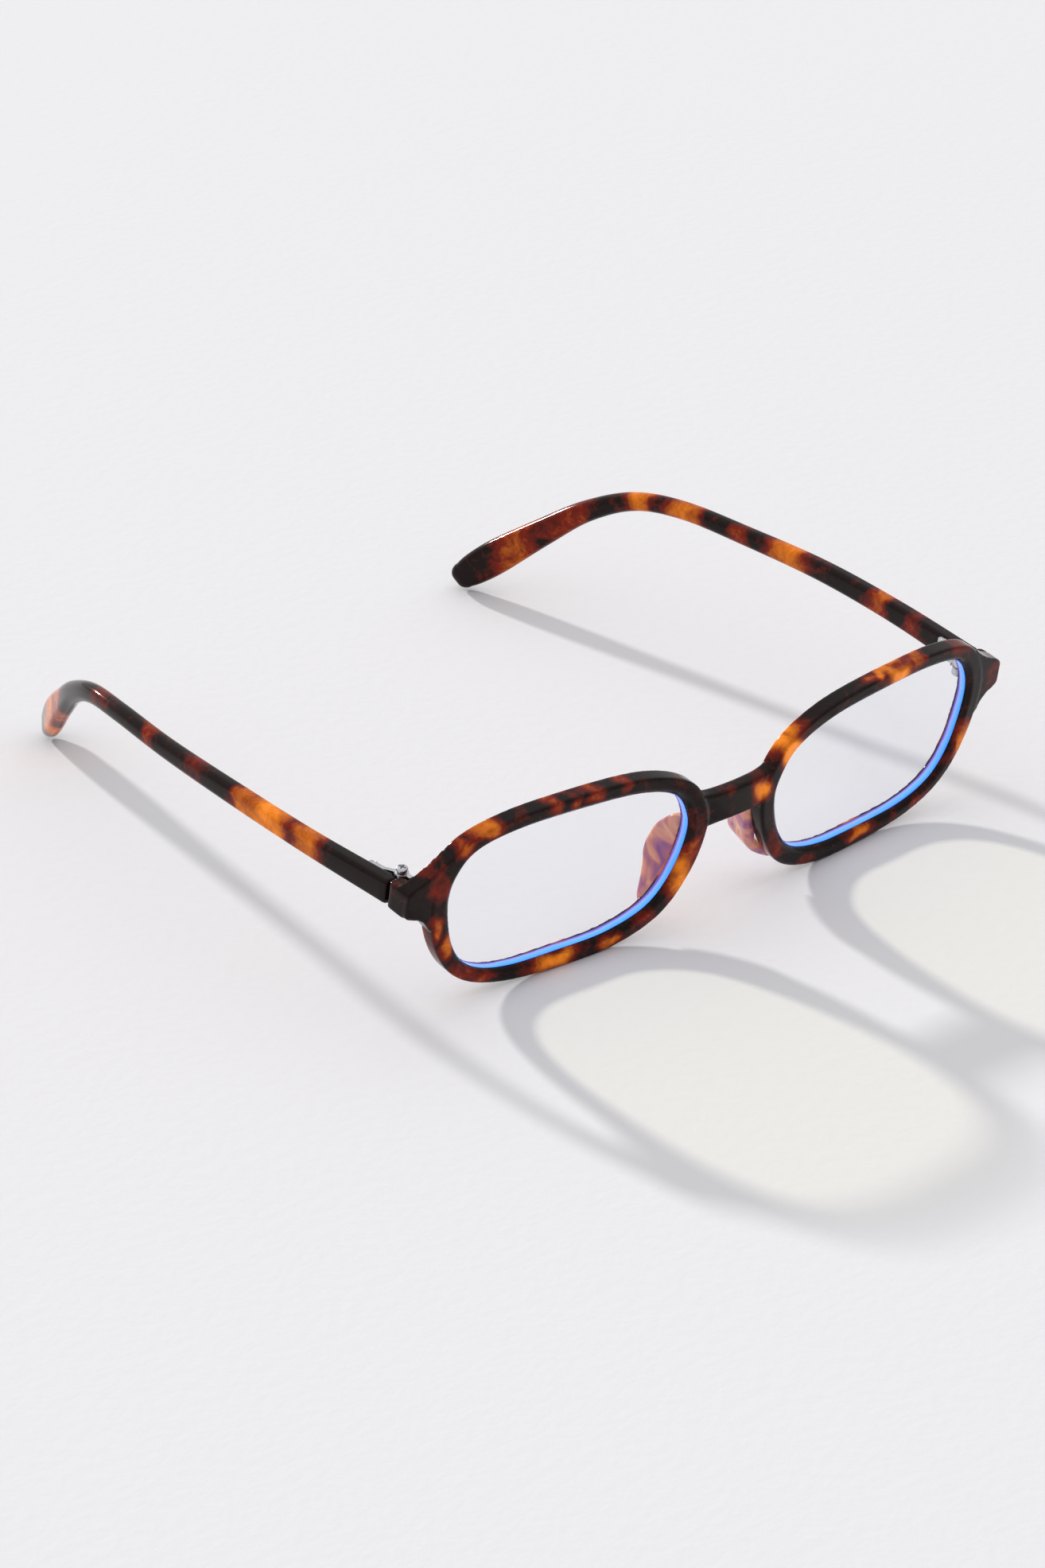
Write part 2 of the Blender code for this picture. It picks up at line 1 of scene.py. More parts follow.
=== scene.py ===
"""Blue light glasses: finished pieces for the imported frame, and a pale studio set.

Shapes are worked out in millimetres with the front upright: X to the right, Y back
along the temples, Z up. Each finished mesh is then leaned and moved to where the open
pair stands, so every object sits at the origin with its place in its mesh.
"""

import json
import math

import bmesh
import bpy
import numpy as np
from bpy.props import FloatProperty, FloatVectorProperty, PointerProperty
from mathutils import Matrix, Vector, noise


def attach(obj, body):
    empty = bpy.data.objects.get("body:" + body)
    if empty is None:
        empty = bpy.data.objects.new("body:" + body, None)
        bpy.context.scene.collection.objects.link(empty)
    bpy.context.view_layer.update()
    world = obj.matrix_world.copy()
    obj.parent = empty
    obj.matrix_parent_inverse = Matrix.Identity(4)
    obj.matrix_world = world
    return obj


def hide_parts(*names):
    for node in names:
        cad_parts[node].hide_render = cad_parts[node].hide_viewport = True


bl_info = {
    "name": "Glasses Builder",
    "version": (1, 0, 0),
    "blender": (4, 5, 0),
    "location": "View3D > Sidebar > Glasses",
    "description": "Builds a folding pair of full-rim glasses and a pale set to stand it on",
    "category": "Object",
}

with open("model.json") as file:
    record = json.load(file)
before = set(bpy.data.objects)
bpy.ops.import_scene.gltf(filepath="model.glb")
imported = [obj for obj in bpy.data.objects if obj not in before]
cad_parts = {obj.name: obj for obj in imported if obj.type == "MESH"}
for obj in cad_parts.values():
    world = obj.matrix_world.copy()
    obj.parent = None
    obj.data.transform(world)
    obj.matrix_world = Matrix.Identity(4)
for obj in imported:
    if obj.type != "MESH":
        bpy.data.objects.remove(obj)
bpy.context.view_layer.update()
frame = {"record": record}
JOINTS = {joint["name"]: joint for joint in frame["record"]["behaviour"]["joints"]}
HINGE = JOINTS["right_temple_fold"]
LEAN = math.atan2(-HINGE["axis"][1], HINGE["axis"][2])
SIDES = ((1, "right"), (-1, "left"))

# the opening, as shares of half its width and half its height
OPENING = [(1.0, 0.22), (0.944, 0.63), (0.786, 0.89), (0.444, 1.0), (-0.04, 1.0), (-0.524, 0.938),
           (-0.847, 0.74), (-0.984, 0.39), (-1.0, 0.048), (-0.907, -0.432), (-0.726, -0.795),
           (-0.403, -0.973), (0.0, -1.0), (0.444, -0.979), (0.746, -0.808), (0.919, -0.432)]
# width of the rim face, from the nose side round over the bottom
RIM_WIDTHS = [3.9, 3.4, 3.8, 3.35, 3.1, 2.95, 2.85, 2.8, 3.9, 3.5, 3.65, 3.15, 3.05, 3.25, 3.7, 3.55]
# temple shaft: share of the run, bow, rise, thickness, height and corner
SHAFT = [(0.0, 0.0, 0.0, 1.0, 1.04, 0.8), (0.26, 1.45, -1.7, 1.0, 0.93, 1.0),
         (0.53, 1.75, -3.8, 1.0, 0.89, 1.2), (0.79, 0.75, -6.6, 1.03, 0.82, 1.4),
         (1.0, -0.95, -8.9, 1.07, 0.78, 1.5)]
# dropped tip: inward, back, down as shares of its length, thickness, height and corner
TIP = [(0.06, 0.275, -0.08, 1.07, 0.80, 1.5), (0.14, 0.50, -0.23, 1.07, 0.93, 1.5),
       (0.23, 0.6875, -0.4225, 1.07, 1.2, 1.5), (0.325, 0.8625, -0.6175, 1.07, 1.51, 1.5),
       (0.4075, 1.00, -0.78, 1.07, 1.6, 1.6)]
# nose pad: out from the nose side of the opening, rise, share of the reach
PAD_RUN = [(-3.0, 2.4, 0.06), (-3.0, 1.6, 0.44), (-2.9, -1.4, 0.83), (-2.6, -4.6, 1.0), (-1.9, -6.8, 1.0),
           (-1.4, -8.8, 0.93), (0.7, -11.0, 0.67), (3.8, -13.2, 0.31), (4.8, -13.6, 0.06)]

# warm patches in the dark plastic of the front: x, z, half width, half height, warmth
FRONT_PATCHES = [
    (-58.5, 32.0, 1.9, 1.6, 0.56), (-54.0, 32.0, 2.8, 1.3, 0.66), (-57.5, 29.6, 1.6, 1.5, 0.58),
    (-62.5, 23.0, 2.6, 5.0, 0.36), (-62.0, 15.0, 1.2, 2.6, 0.60), (-59.8, 10.5, 1.5, 2.4, 0.66),
    (-56.0, 3.5, 2.6, 2.4, 0.38), (-51.0, 1.0, 2.4, 1.4, 0.44), (-36.0, -0.4, 4.6, 1.5, 0.82),
    (-24.8, 0.0, 2.0, 1.2, 0.62), (-16.5, 2.5, 2.6, 1.8, 0.42), (-10.6, 8.6, 2.2, 4.6, 0.80),
    (-8.8, 14.0, 1.8, 2.2, 0.50), (-40.4, 33.5, 1.3, 2.6, 0.50), (-36.8, 32.2, 1.2, 1.2, 0.46),
    (-32.6, 32.6, 1.8, 1.2, 0.48), (-26.0, 32.6, 1.5, 1.0, 0.42), (-4.5, 25.8, 4.0, 1.6, 0.36),
    (5.6, 20.9, 2.2, 2.2, 0.84), (10.2, 31.0, 3.2, 2.1, 0.96), (12.2, 26.8, 2.6, 2.4, 0.98),
    (31.5, 35.6, 3.4, 1.2, 0.94), (35.2, 34.2, 2.0, 1.2, 0.94), (38.6, 32.4, 3.2, 1.7, 0.94),
    (43.8, 33.2, 1.7, 2.2, 0.50), (60.8, 8.0, 2.2, 4.6, 0.78), (61.8, 3.5, 1.6, 2.2, 0.50),
    (34.5, 0.6, 3.0, 1.0, 0.62), (20.0, 0.6, 2.6, 1.4, 0.40), (11.5, 6.5, 1.8, 4.0, 0.44),
    (66.0, 21.5, 2.6, 2.6, 0.30), (55.0, 31.0, 2.6, 1.8, 0.34), (50.0, 0.4, 2.4, 1.2, 0.40)]
# warm patches along the temples: y, half length, warmth outside, warmth inside
RIGHT_PATCHES = [(25.5, 2.2, 0.42, 0.50), (35.0, 3.0, 0.56, 0.30), (59.5, 5.0, 0.66, 0.80),
                 (72.5, 2.6, 0.40, 0.52), (86.5, 4.0, 0.60, 0.76), (97.0, 2.6, 0.66, 0.68),
                 (112.0, 5.0, 0.40, 0.44), (124.0, 5.0, 0.48, 0.50)]
LEFT_PATCHES = [(30.0, 3.6, 0.66, 0.54), (40.5, 5.2, 0.78, 0.62), (47.0, 2.6, 0.66, 0.52),
                (61.0, 2.6, 0.32, 0.44), (76.5, 2.4, 0.52, 0.56), (94.0, 3.4, 0.36, 0.52),
                (120.0, 4.0, 0.50, 0.46), (127.5, 3.6, 0.72, 0.60)]


class GlassesSizes(bpy.types.PropertyGroup):
    """Sizes of the pieces, in millimetres."""

    lens_width: FloatProperty(name="Lens Width", description="Width of each opening", default=49.6, min=30)
    lens_height: FloatProperty(name="Lens Height", description="Height of each opening", default=29.2, min=20)
    bridge_gap: FloatProperty(name="Bridge Gap", description="Distance between the openings", default=20.4)
    centre_height: FloatProperty(name="Lens Centre", description="Height of the lens centre", default=15.8)
    front_depth: FloatProperty(name="Front Depth", description="Depth of the rims", default=3.2)
    bridge_height: FloatProperty(name="Bridge Height", description="Height of the bridge", default=6.3)
    bridge_set_back: FloatProperty(name="Bridge Set Back", description="How far the bridge sits back",
                                   default=0.35)
    side_lean: FloatProperty(name="Side Lean", description="How fast the front falls back", default=0.0745)
    side_curve: FloatProperty(name="Side Curve", description="Extra wrap near the ends", default=0.0009)
    end_height: FloatProperty(name="End Piece Height", description="Height of the end pieces", default=5.1)
    end_out: FloatProperty(name="End Piece Reach", description="Reach beyond the opening", default=8.8)
    return_length: FloatProperty(name="Return", description="Length of the end piece behind the front",
                                 default=2.3)
    shaft_length: FloatProperty(name="Temple Shaft", description="Hinge to bend", default=75.0)
    tip_length: FloatProperty(name="Temple Tip", description="Length of the dropped tip", default=40.0)
    temple_thickness: FloatProperty(name="Temple Thickness", description="Thickness", default=3.0)
    temple_height: FloatProperty(name="Temple Height", description="Height of the shaft", default=4.5)
    lens_thickness: FloatProperty(name="Lens Thickness", description="Thickness of the lens", default=1.6)
    knuckle_radius: FloatProperty(name="Knuckle Radius", description="Radius of the barrel", default=1.3)
    pad_thickness: FloatProperty(name="Pad Thickness", description="Thickness of a nose pad", default=2.2)
    pad_reach: FloatProperty(name="Pad Reach", description="How far a pad stands back", default=6.9)
    grain: FloatProperty(name="Surface Step", description="Fineness of the moulded front", default=0.23)


class GlassesColours(bpy.types.PropertyGroup):
    """Colours of the finishes and the set."""

    dark: FloatVectorProperty(name="Dark Plastic", description="Darkest tone", subtype="COLOR", size=3,
                              default=(0.0055, 0.0022, 0.0018))
    red: FloatVectorProperty(name="Red Plastic", description="Middle tone", subtype="COLOR", size=3,
                             default=(0.20, 0.013, 0.003))
    amber: FloatVectorProperty(name="Amber Plastic", description="Light tone", subtype="COLOR", size=3,
                               default=(0.72, 0.19, 0.008))
    steel: FloatVectorProperty(name="Hinge Steel", description="Hinge metal", subtype="COLOR", size=3,
                               default=(0.60, 0.60, 0.62))
    floor: FloatVectorProperty(name="Floor", description="Pale paper floor", subtype="COLOR", size=3,
                               default=(0.815, 0.808, 0.825))


# ---------------------------------------------------------------- shape rules

class Plan:
    """Places that follow from the sizes."""

    def __init__(self, s):
        self.s = s
        self.centre = (s.bridge_gap / 2 + s.lens_width / 2, s.centre_height)
        self.side = s.bridge_gap / 2 + s.lens_width
        self.opening = [(self.centre[0] + x * s.lens_width / 2, self.centre[1] + z * s.lens_height / 2)
                        for x, z in OPENING]
        self.end_middle = s.centre_height + 4.95
        self.end_outer = self.side + s.end_out - 0.1
        self.end_back = self.front_y(self.end_outer) + s.front_depth + s.return_length
        self.axis_x = self.end_outer - s.temple_thickness - 0.7
        self.axis_y = self.end_back + 0.8
        self.hinge_low = self.end_middle - 2.55
        self.hinge_top = self.end_middle + 2.55
        turn = Matrix.Rotation(LEAN, 4, "X")
        hinge = turn @ Vector((self.axis_x, self.axis_y, self.end_middle)) * 0.001
        self.stand = Matrix.Translation(Vector(HINGE["pos_m"]) - hinge) @ turn @ Matrix.Scale(0.001, 4)

    def front_y(self, x):
        lean = self.s.side_lean * (math.hypot(x, 4.0) - 4.0)
        return lean + self.s.side_curve * max(abs(x) - 35.0, 0.0) ** 2

    def opening_radii(self, angles):
        loop = rounded_loop(self.opening, 24) - np.array(self.centre)
        turn = np.arctan2(loop[:, 1], loop[:, 0])
        order = np.argsort(turn)
        return np.interp(angles, turn[order], np.hypot(loop[:, 0], loop[:, 1])[order], period=2 * math.pi)

    def stations(self, count):
        """Angles about the lens centre, evenly spaced along the opening."""
        fine = np.linspace(-math.pi, math.pi, 1441)
        r = self.opening_radii(fine)
        path = np.stack([r * np.cos(fine), r * np.sin(fine)], 1)
        run = np.concatenate([[0], np.cumsum(np.linalg.norm(np.diff(path, axis=0), axis=1))])
        return np.interp(np.linspace(0, run[-1], count, endpoint=False), run, fine)

    def rim_widths(self, angles):
        around = np.linspace(-math.pi, math.pi, len(RIM_WIDTHS) + 1)
        fine = np.interp(np.linspace(-math.pi, math.pi, 361), around, RIM_WIDTHS + RIM_WIDTHS[:1])
        window = np.hanning(41) / np.hanning(41).sum()
        soft = np.convolve(np.tile(fine[:-1], 3), window, "same")[360:720]
        return np.interp(angles, np.linspace(-math.pi, math.pi, 360, endpoint=False), soft,
                         period=2 * math.pi)

    def rim_point(self, side, angle, radius, depth):
        x = self.centre[0] + radius * math.cos(angle)
        z = self.centre[1] + radius * math.sin(angle)
        return (side * x, self.front_y(x) + depth, z)


def rounded_loop(points, steps):
    """Closed smooth curve through the points."""
    p = np.array(points, float)
    t = np.linspace(0.0, 1.0, steps, endpoint=False)[:, None]
    parts = []
    for i in range(len(p)):
        a, b, c, d = p[i - 1], p[i], p[(i + 1) % len(p)], p[(i + 2) % len(p)]
        parts.append(0.5 * (2 * b + (c - a) * t + (2 * a - 5 * b + 4 * c - d) * t ** 2
                            + (3 * b - a - 3 * c + d) * t ** 3))
    return np.vstack(parts)


def rounded_run(points, steps):
    """Smooth curve through the points that keeps both ends."""
    p = np.array([points[0]] + list(points) + [points[-1]], float)
    out = []
    for i in range(1, len(p) - 2):
        a, b, c, d = p[i - 1], p[i], p[i + 1], p[i + 2]
        for t in np.arange(steps) / steps:
            out.append(0.5 * (2 * b + (c - a) * t + (2 * a - 5 * b + 4 * c - d) * t * t
                              + (3 * b - a - 3 * c + d) * t ** 3))
    out.append(p[-1])
    return np.array(out)


def soft_corners(points, radius, steps=4):
    """Polygon with each corner cut to a curve that starts a radius away."""
    out = []
    for i, corner in enumerate(points):
        corner = np.array(corner, float)
        before = np.array(points[i - 1], float) - corner
        after = np.array(points[(i + 1) % len(points)], float) - corner
        near = min(radius, 0.45 * np.linalg.norm(before), 0.45 * np.linalg.norm(after))
        a = corner + before / np.linalg.norm(before) * near
        b = corner + after / np.linalg.norm(after) * near
        for t in np.linspace(0, 1, steps + 1):
            out.append(tuple((1 - t) ** 2 * a + 2 * t * (1 - t) * corner + t * t * b))
    return out


# ---------------------------------------------------------------- mesh tools

def add_loop(bm, points):
    """One closed loop of edges through the points."""
    made = bmesh.ops.create_circle(bm, segments=len(points), radius=1.0)["verts"]
    for vert, point in zip(made, points):
        vert.co = point
    return list(dict.fromkeys(edge for vert in made for edge in vert.link_edges))


def skin(bm, rings, closed=False, capped=True):
    """Walls from each ring to the next; the ends are closed or joined up."""
    loops = [add_loop(bm, ring) for ring in rings]
    for one, two in zip(loops[:-1], loops[1:]):
        bmesh.ops.bridge_loops(bm, edges=one + two)
    if closed:
        bmesh.ops.bridge_loops(bm, edges=loops[-1] + loops[0])
    elif capped:
        bmesh.ops.edgeloop_fill(bm, edges=loops[0])
        bmesh.ops.edgeloop_fill(bm, edges=loops[-1])


def add_block(bm, outline, push, bevel=0.0, segments=3):
    """Solid drawn out from a flat outline, with its edges rounded."""
    loop = add_loop(bm, outline)
    face = bmesh.ops.edgeloop_fill(bm, edges=loop)["faces"]
    grown = bmesh.ops.extrude_face_region(bm, geom=face)["geom"]
    far = [item for item in grown if isinstance(item, bmesh.types.BMVert)]
    bmesh.ops.translate(bm, verts=far, vec=push)
    faces = list(dict.fromkeys(f for edge in loop for v in edge.verts for f in v.link_faces))
    faces += [item for item in grown if isinstance(item, bmesh.types.BMFace)]
    faces = list(dict.fromkeys(faces))
    bmesh.ops.recalc_face_normals(bm, faces=faces)
    if bevel:
        edges = list(dict.fromkeys(edge for f in faces for edge in f.edges))
        sharp = [edge for edge in edges if edge.calc_face_angle(0.0) > 0.5]
        bmesh.ops.bevel(bm, geom=sharp, offset=bevel, offset_type="OFFSET", affect="EDGES",
                        segments=segments, profile=0.5, material=-1, clamp_overlap=True)


def add_drum(bm, centre, radius, low, high, bevel=0.12, segments=40):
    """Upright round with softened rims."""
    made = bmesh.ops.create_cone(bm, cap_ends=True, segments=segments, radius1=radius, radius2=radius,
                                 depth=high - low)["verts"]
    bmesh.ops.translate(bm, verts=made, vec=(centre[0], centre[1], (low + high) / 2))
    rims = [e for e in dict.fromkeys(e for v in made for e in v.link_edges) if e.calc_face_angle(0.0) > 1.0]
    bmesh.ops.bevel(bm, geom=rims, offset=bevel, offset_type="OFFSET", affect="EDGES", segments=2,
                    profile=0.5, material=-1, clamp_overlap=True)


def as_object(name, bm):
    """Object in design millimetres."""
    bmesh.ops.recalc_face_normals(bm, faces=bm.faces)
    mesh = bpy.data.meshes.new(name)
    bm.to_mesh(mesh)
    bm.free()
    item = bpy.data.objects.new(name, mesh)
    bpy.context.collection.objects.link(item)
    return item


def settle(item):
    """Put what the modifiers make into the mesh itself."""
    bpy.context.view_layer.update()
    seen = item.evaluated_get(bpy.context.evaluated_depsgraph_get())
    mesh = bpy.data.meshes.new_from_object(seen)
    old = item.data
    item.modifiers.clear()
    item.data = mesh
    mesh.name = item.name
    bpy.data.meshes.remove(old)


def cut(item, tool):
    """Take the tool's shape out of the item."""
    step = item.modifiers.new("cut", "BOOLEAN")
    step.operation = "DIFFERENCE"
    step.solver = "EXACT"
    step.object = tool
    settle(item)
    bpy.data.objects.remove(tool, do_unlink=True)


def finish_piece(item, plan, material, body, nodes, sharp=None):
    """Stand the piece in its place, shade it and hang it on its body."""
    item.data.transform(plan.stand)
    item.data.materials.clear()
    item.data.materials.append(material)
    item.data.shade_smooth()
    if sharp is not None:
        item.data.set_sharp_from_angle(angle=math.radians(sharp))
    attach(item, body)
    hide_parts(*nodes)
    return item


def paint_warmth(item, rule, name="warmth"):
    """Store how warm the plastic is at each point of the piece."""
    layer = item.data.attributes.new(name, "FLOAT", "POINT")
    layer.data.foreach_set("value", [rule(vert.co) for vert in item.data.vertices])


def patch_warmth(distance):
    """One inside a patch, falling softly to nothing outside it."""
    return 1.0 / (1.0 + distance ** 4)


def front_warmth(co):
    value = 0.17
    place = co + noise.noise_vector(co * 0.3) * 1.3
    for x, z, half_x, half_z, warmth in FRONT_PATCHES:
        away = math.hypot((place.x - x) / half_x, (place.z - z) / half_z)
        if away < 3.0:
            value = max(value, 0.17 + (warmth - 0.17) * patch_warmth(away))
    return value


def temple_warmth(side, patches):
    def rule(co):
        inside = 0.5 - 0.5 * max(-1.0, min(1.0, (side * co.x - 66.0 + max(co.y - 80.0, 0.0) * 0.3) / 1.5))
        value = 0.15
        place = co + noise.noise_vector(co * 0.3) * 1.6
        for y, half, outer, inner in patches:
            away = abs(place.y - 0.25 * place.z - y + 4.0) / half
            warmth = outer * (1.0 - inside) + inner * inside
            value = max(value, 0.15 + (warmth - 0.15) * patch_warmth(away))
        return value
    return rule


# ---------------------------------------------------------------- finishes

def socket(group, name, way, kind, value=None):
    made = group.interface.new_socket(name=name, in_out=way, socket_type=kind)
    if value is not None:
        made.default_value = value


def node(tree, kind, x, y, **values):
    made = tree.nodes.new(kind)
    made.location = (x, y)
    for name, value in values.items():
        setattr(made, name, value)
    return made


def tortoise_group(colours):
    """Cloudy dark to amber plastic that follows the warmth given to it, with a share of amber that sets a painted
    glow.
    """
    name = "tortoiseshell clouds"
    if name in bpy.data.node_groups:
        return bpy.data.node_groups[name]
    group = bpy.data.node_groups.new(name, "ShaderNodeTree")
    socket(group, "Vector", "INPUT", "NodeSocketVector")
    socket(group, "Warmth", "INPUT", "NodeSocketFloat", 0.2)
    socket(group, "Cloud Scale", "INPUT", "NodeSocketFloat", 190.0)
    socket(group, "Spread", "INPUT", "NodeSocketFloat", 0.5)
    socket(group, "Colour", "OUTPUT", "NodeSocketColor")
    socket(group, "Light Areas", "OUTPUT", "NodeSocketFloat")
    links = group.links
    source = node(group, "NodeGroupInput", -1100, 0)
    sink = node(group, "NodeGroupOutput", 700, 0)
    cloud = node(group, "ShaderNodeTexNoise", -850, 150)
    cloud.inputs["Detail"].default_value = 3.0
    cloud.inputs["Roughness"].default_value = 0.55
    cloud.inputs["Distortion"].default_value = 0.9
    fine = node(group, "ShaderNodeTexNoise", -850, -150)
    fine.inputs["Detail"].default_value = 2.0
    fine.inputs["Distortion"].default_value = 1.6
    faster = node(group, "ShaderNodeMath", -1000, -250, operation="MULTIPLY")
    faster.inputs[1].default_value = 3.1
    links.new(source.outputs["Cloud Scale"], cloud.inputs["Scale"])
    links.new(source.outputs["Cloud Scale"], faster.inputs[0])
    links.new(faster.outputs[0], fine.inputs["Scale"])
    links.new(source.outputs["Vector"], cloud.inputs["Vector"])
    links.new(source.outputs["Vector"], fine.inputs["Vector"])
    centred = node(group, "ShaderNodeMath", -650, 150, operation="SUBTRACT")
    centred.inputs[1].default_value = 0.5
    spread = node(group, "ShaderNodeMath", -480, 150, operation="MULTIPLY")
    small = node(group, "ShaderNodeMath", -650, -150, operation="SUBTRACT")
    small.inputs[1].default_value = 0.5
    small_part = node(group, "ShaderNodeMath", -480, -150, operation="MULTIPLY")
    small_part.inputs[1].default_value = 0.28
    both = node(group, "ShaderNodeMath", -310, 50, operation="ADD")
    total = node(group, "ShaderNodeMath", -140, 50, operation="ADD", use_clamp=True)
    links.new(cloud.outputs["Fac"], centred.inputs[0])
    links.new(centred.outputs[0], spread.inputs[0])
    links.new(source.outputs["Spread"], spread.inputs[1])
    links.new(fine.outputs["Fac"], small.inputs[0])
    links.new(small.outputs[0], small_part.inputs[0])
    links.new(spread.outputs[0], both.inputs[0])
    links.new(small_part.outputs[0], both.inputs[1])
    links.new(both.outputs[0], total.inputs[0])
    links.new(source.outputs["Warmth"], total.inputs[1])
    ramp = node(group, "ShaderNodeValToRGB", 60, 100)
    stops = [(0.0, colours.dark), (0.22, [c * 2.2 for c in colours.dark]), (0.44, colours.red),
             (0.62, [(a + b) / 2 for a, b in zip(colours.red, colours.amber)]), (0.8, colours.amber),
             (1.0, [min(c * 1.35 + 0.03, 1.0) for c in colours.amber])]
    while len(ramp.color_ramp.elements) < len(stops):
        ramp.color_ramp.elements.new(0.5)
    for element, (place, colour) in zip(ramp.color_ramp.elements, stops):
        element.position = place
        element.color = (*colour, 1.0)
    links.new(total.outputs[0], ramp.inputs["Fac"])
    links.new(ramp.outputs["Color"], sink.inputs["Colour"])
    # how amber the plastic is here; the material uses it as the strength of its painted glow
    light = node(group, "ShaderNodeMapRange", 400, -100)
    light.inputs["From Min"].default_value = 0.35
    light.inputs["From Max"].default_value = 0.85
    links.new(total.outputs[0], light.inputs["Value"])
    links.new(light.outputs["Result"], sink.inputs["Light Areas"])
    return group


def wear_group():
    """Fine unevenness left by polishing: a height and a roughness that varies."""
    name = "polish marks"
    if name in bpy.data.node_groups:
        return bpy.data.node_groups[name]
    group = bpy.data.node_groups.new(name, "ShaderNodeTree")
    socket(group, "Vector", "INPUT", "NodeSocketVector")
    socket(group, "Scale", "INPUT", "NodeSocketFloat", 400.0)
    socket(group, "Low", "INPUT", "NodeSocketFloat", 0.08)
    socket(group, "High", "INPUT", "NodeSocketFloat", 0.2)
    socket(group, "Roughness", "OUTPUT", "NodeSocketFloat")
    socket(group, "Height", "OUTPUT", "NodeSocketFloat")
    source = node(group, "NodeGroupInput", -700, 0)
    sink = node(group, "NodeGroupOutput", 300, 0)
    marks = node(group, "ShaderNodeTexNoise", -450, 100)
    marks.inputs["Detail"].default_value = 4.0
    spread = node(group, "ShaderNodeMapRange", -200, 100)
    spread.inputs["From Min"].default_value = 0.3
    spread.inputs["From Max"].default_value = 0.7
    group.links.new(source.outputs["Vector"], marks.inputs["Vector"])
    group.links.new(source.outputs["Scale"], marks.inputs["Scale"])
    group.links.new(source.outputs["Low"], spread.inputs["To Min"])
    group.links.new(source.outputs["High"], spread.inputs["To Max"])
    group.links.new(marks.outputs["Fac"], spread.inputs["Value"])
    group.links.new(spread.outputs["Result"], sink.inputs["Roughness"])
    group.links.new(marks.outputs["Fac"], sink.inputs["Height"])
    return group


def new_material(name):
    """Empty node material with its shader and output, and object coordinates."""
    material = bpy.data.materials.new(name)
    material.use_nodes = True
    tree = material.node_tree
    shader = tree.nodes["Principled BSDF"]
    place = node(tree, "ShaderNodeTexCoord", -1200, 0)
    return material, tree, shader, place.outputs["Object"]


def add_polish(tree, shader, place, scale, low, high, bump):
    """Uneven gloss and a faint bump from the polish marks."""
    marks = node(tree, "ShaderNodeGroup", -600, -300)
    marks.node_tree = wear_group()
    marks.inputs["Scale"].default_value = scale
    marks.inputs["Low"].default_value = low
    marks.inputs["High"].default_value = high
    tree.links.new(place, marks.inputs["Vector"])
    tree.links.new(marks.outputs["Roughness"], shader.inputs["Roughness"])
    height = node(tree, "ShaderNodeBump", -300, -450)
    height.inputs["Strength"].default_value = bump
    height.inputs["Distance"].default_value = 0.0002
    tree.links.new(marks.outputs["Height"], height.inputs["Height"])
    tree.links.new(height.outputs["Normal"], shader.inputs["Normal"])


def tortoise_material(name, colours, cloud_scale, spread, offset):
    material, tree, shader, place = new_material(name)
    shift = node(tree, "ShaderNodeMapping", -1000, 0)
    shift.inputs["Location"].default_value = offset
    tree.links.new(place, shift.inputs["Vector"])
    warmth = node(tree, "ShaderNodeAttribute", -1000, 250, attribute_name="warmth")
    clouds = node(tree, "ShaderNodeGroup", -650, 150)
    clouds.node_tree = tortoise_group(colours)
    clouds.inputs["Cloud Scale"].default_value = cloud_scale
    clouds.inputs["Spread"].default_value = spread
    tree.links.new(shift.outputs["Vector"], clouds.inputs["Vector"])
    tree.links.new(warmth.outputs["Fac"], clouds.inputs["Warmth"])
    tree.links.new(clouds.outputs["Colour"], shader.inputs["Base Color"])
    shader.inputs["IOR"].default_value = 1.5
    shader.inputs["Specular IOR Level"].default_value = 0.14
    # painted glow: the amber areas give off their own colour, up to 0.3, in place of light shining through the
    # plastic
    glow = node(tree, "ShaderNodeMapRange", -400, -80)
    glow.inputs["To Max"].default_value = 0.3
    tree.links.new(clouds.outputs["Light Areas"], glow.inputs["Value"])
    tree.links.new(glow.outputs["Result"], shader.inputs["Emission Strength"])
    tree.links.new(clouds.outputs["Colour"], shader.inputs["Emission Color"])
    add_polish(tree, shader, place, 260.0, 0.05, 0.11, 0.03)
    return material


def pad_material(name, colours):
    """Pale, slightly see-through plastic with pink, amber and plum clouds; its see-through look is a faint painted
    glow in its own colour.
    """
    material, tree, shader, place = new_material(name)
    cloud = node(tree, "ShaderNodeTexNoise", -900, 150)
    cloud.inputs["Scale"].default_value = 210.0
    cloud.inputs["Distortion"].default_value = 1.2
    tone = node(tree, "ShaderNodeValToRGB", -650, 150)
    stops = [(0.32, (0.22, 0.08, 0.24)), (0.46, (0.50, 0.17, 0.20)), (0.56, (0.66, 0.28, 0.19)),
             (0.68, (0.78, 0.42, 0.26))]
    while len(tone.color_ramp.elements) < len(stops):
        tone.color_ramp.elements.new(0.5)
    for element, (share, colour) in zip(tone.color_ramp.elements, stops):
        element.position = share
        element.color = (*colour, 1.0)
    tree.links.new(place, cloud.inputs["Vector"])
    tree.links.new(cloud.outputs["Fac"], tone.inputs["Fac"])
    tree.links.new(tone.outputs["Color"], shader.inputs["Base Color"])
    tree.links.new(tone.outputs["Color"], shader.inputs["Emission Color"])
    # painted glow in the pads' own colour, in place of light passing through them
    shader.inputs["Emission Strength"].default_value = 0.12
    add_polish(tree, shader, place, 300.0, 0.08, 0.16, 0.03)
    return material


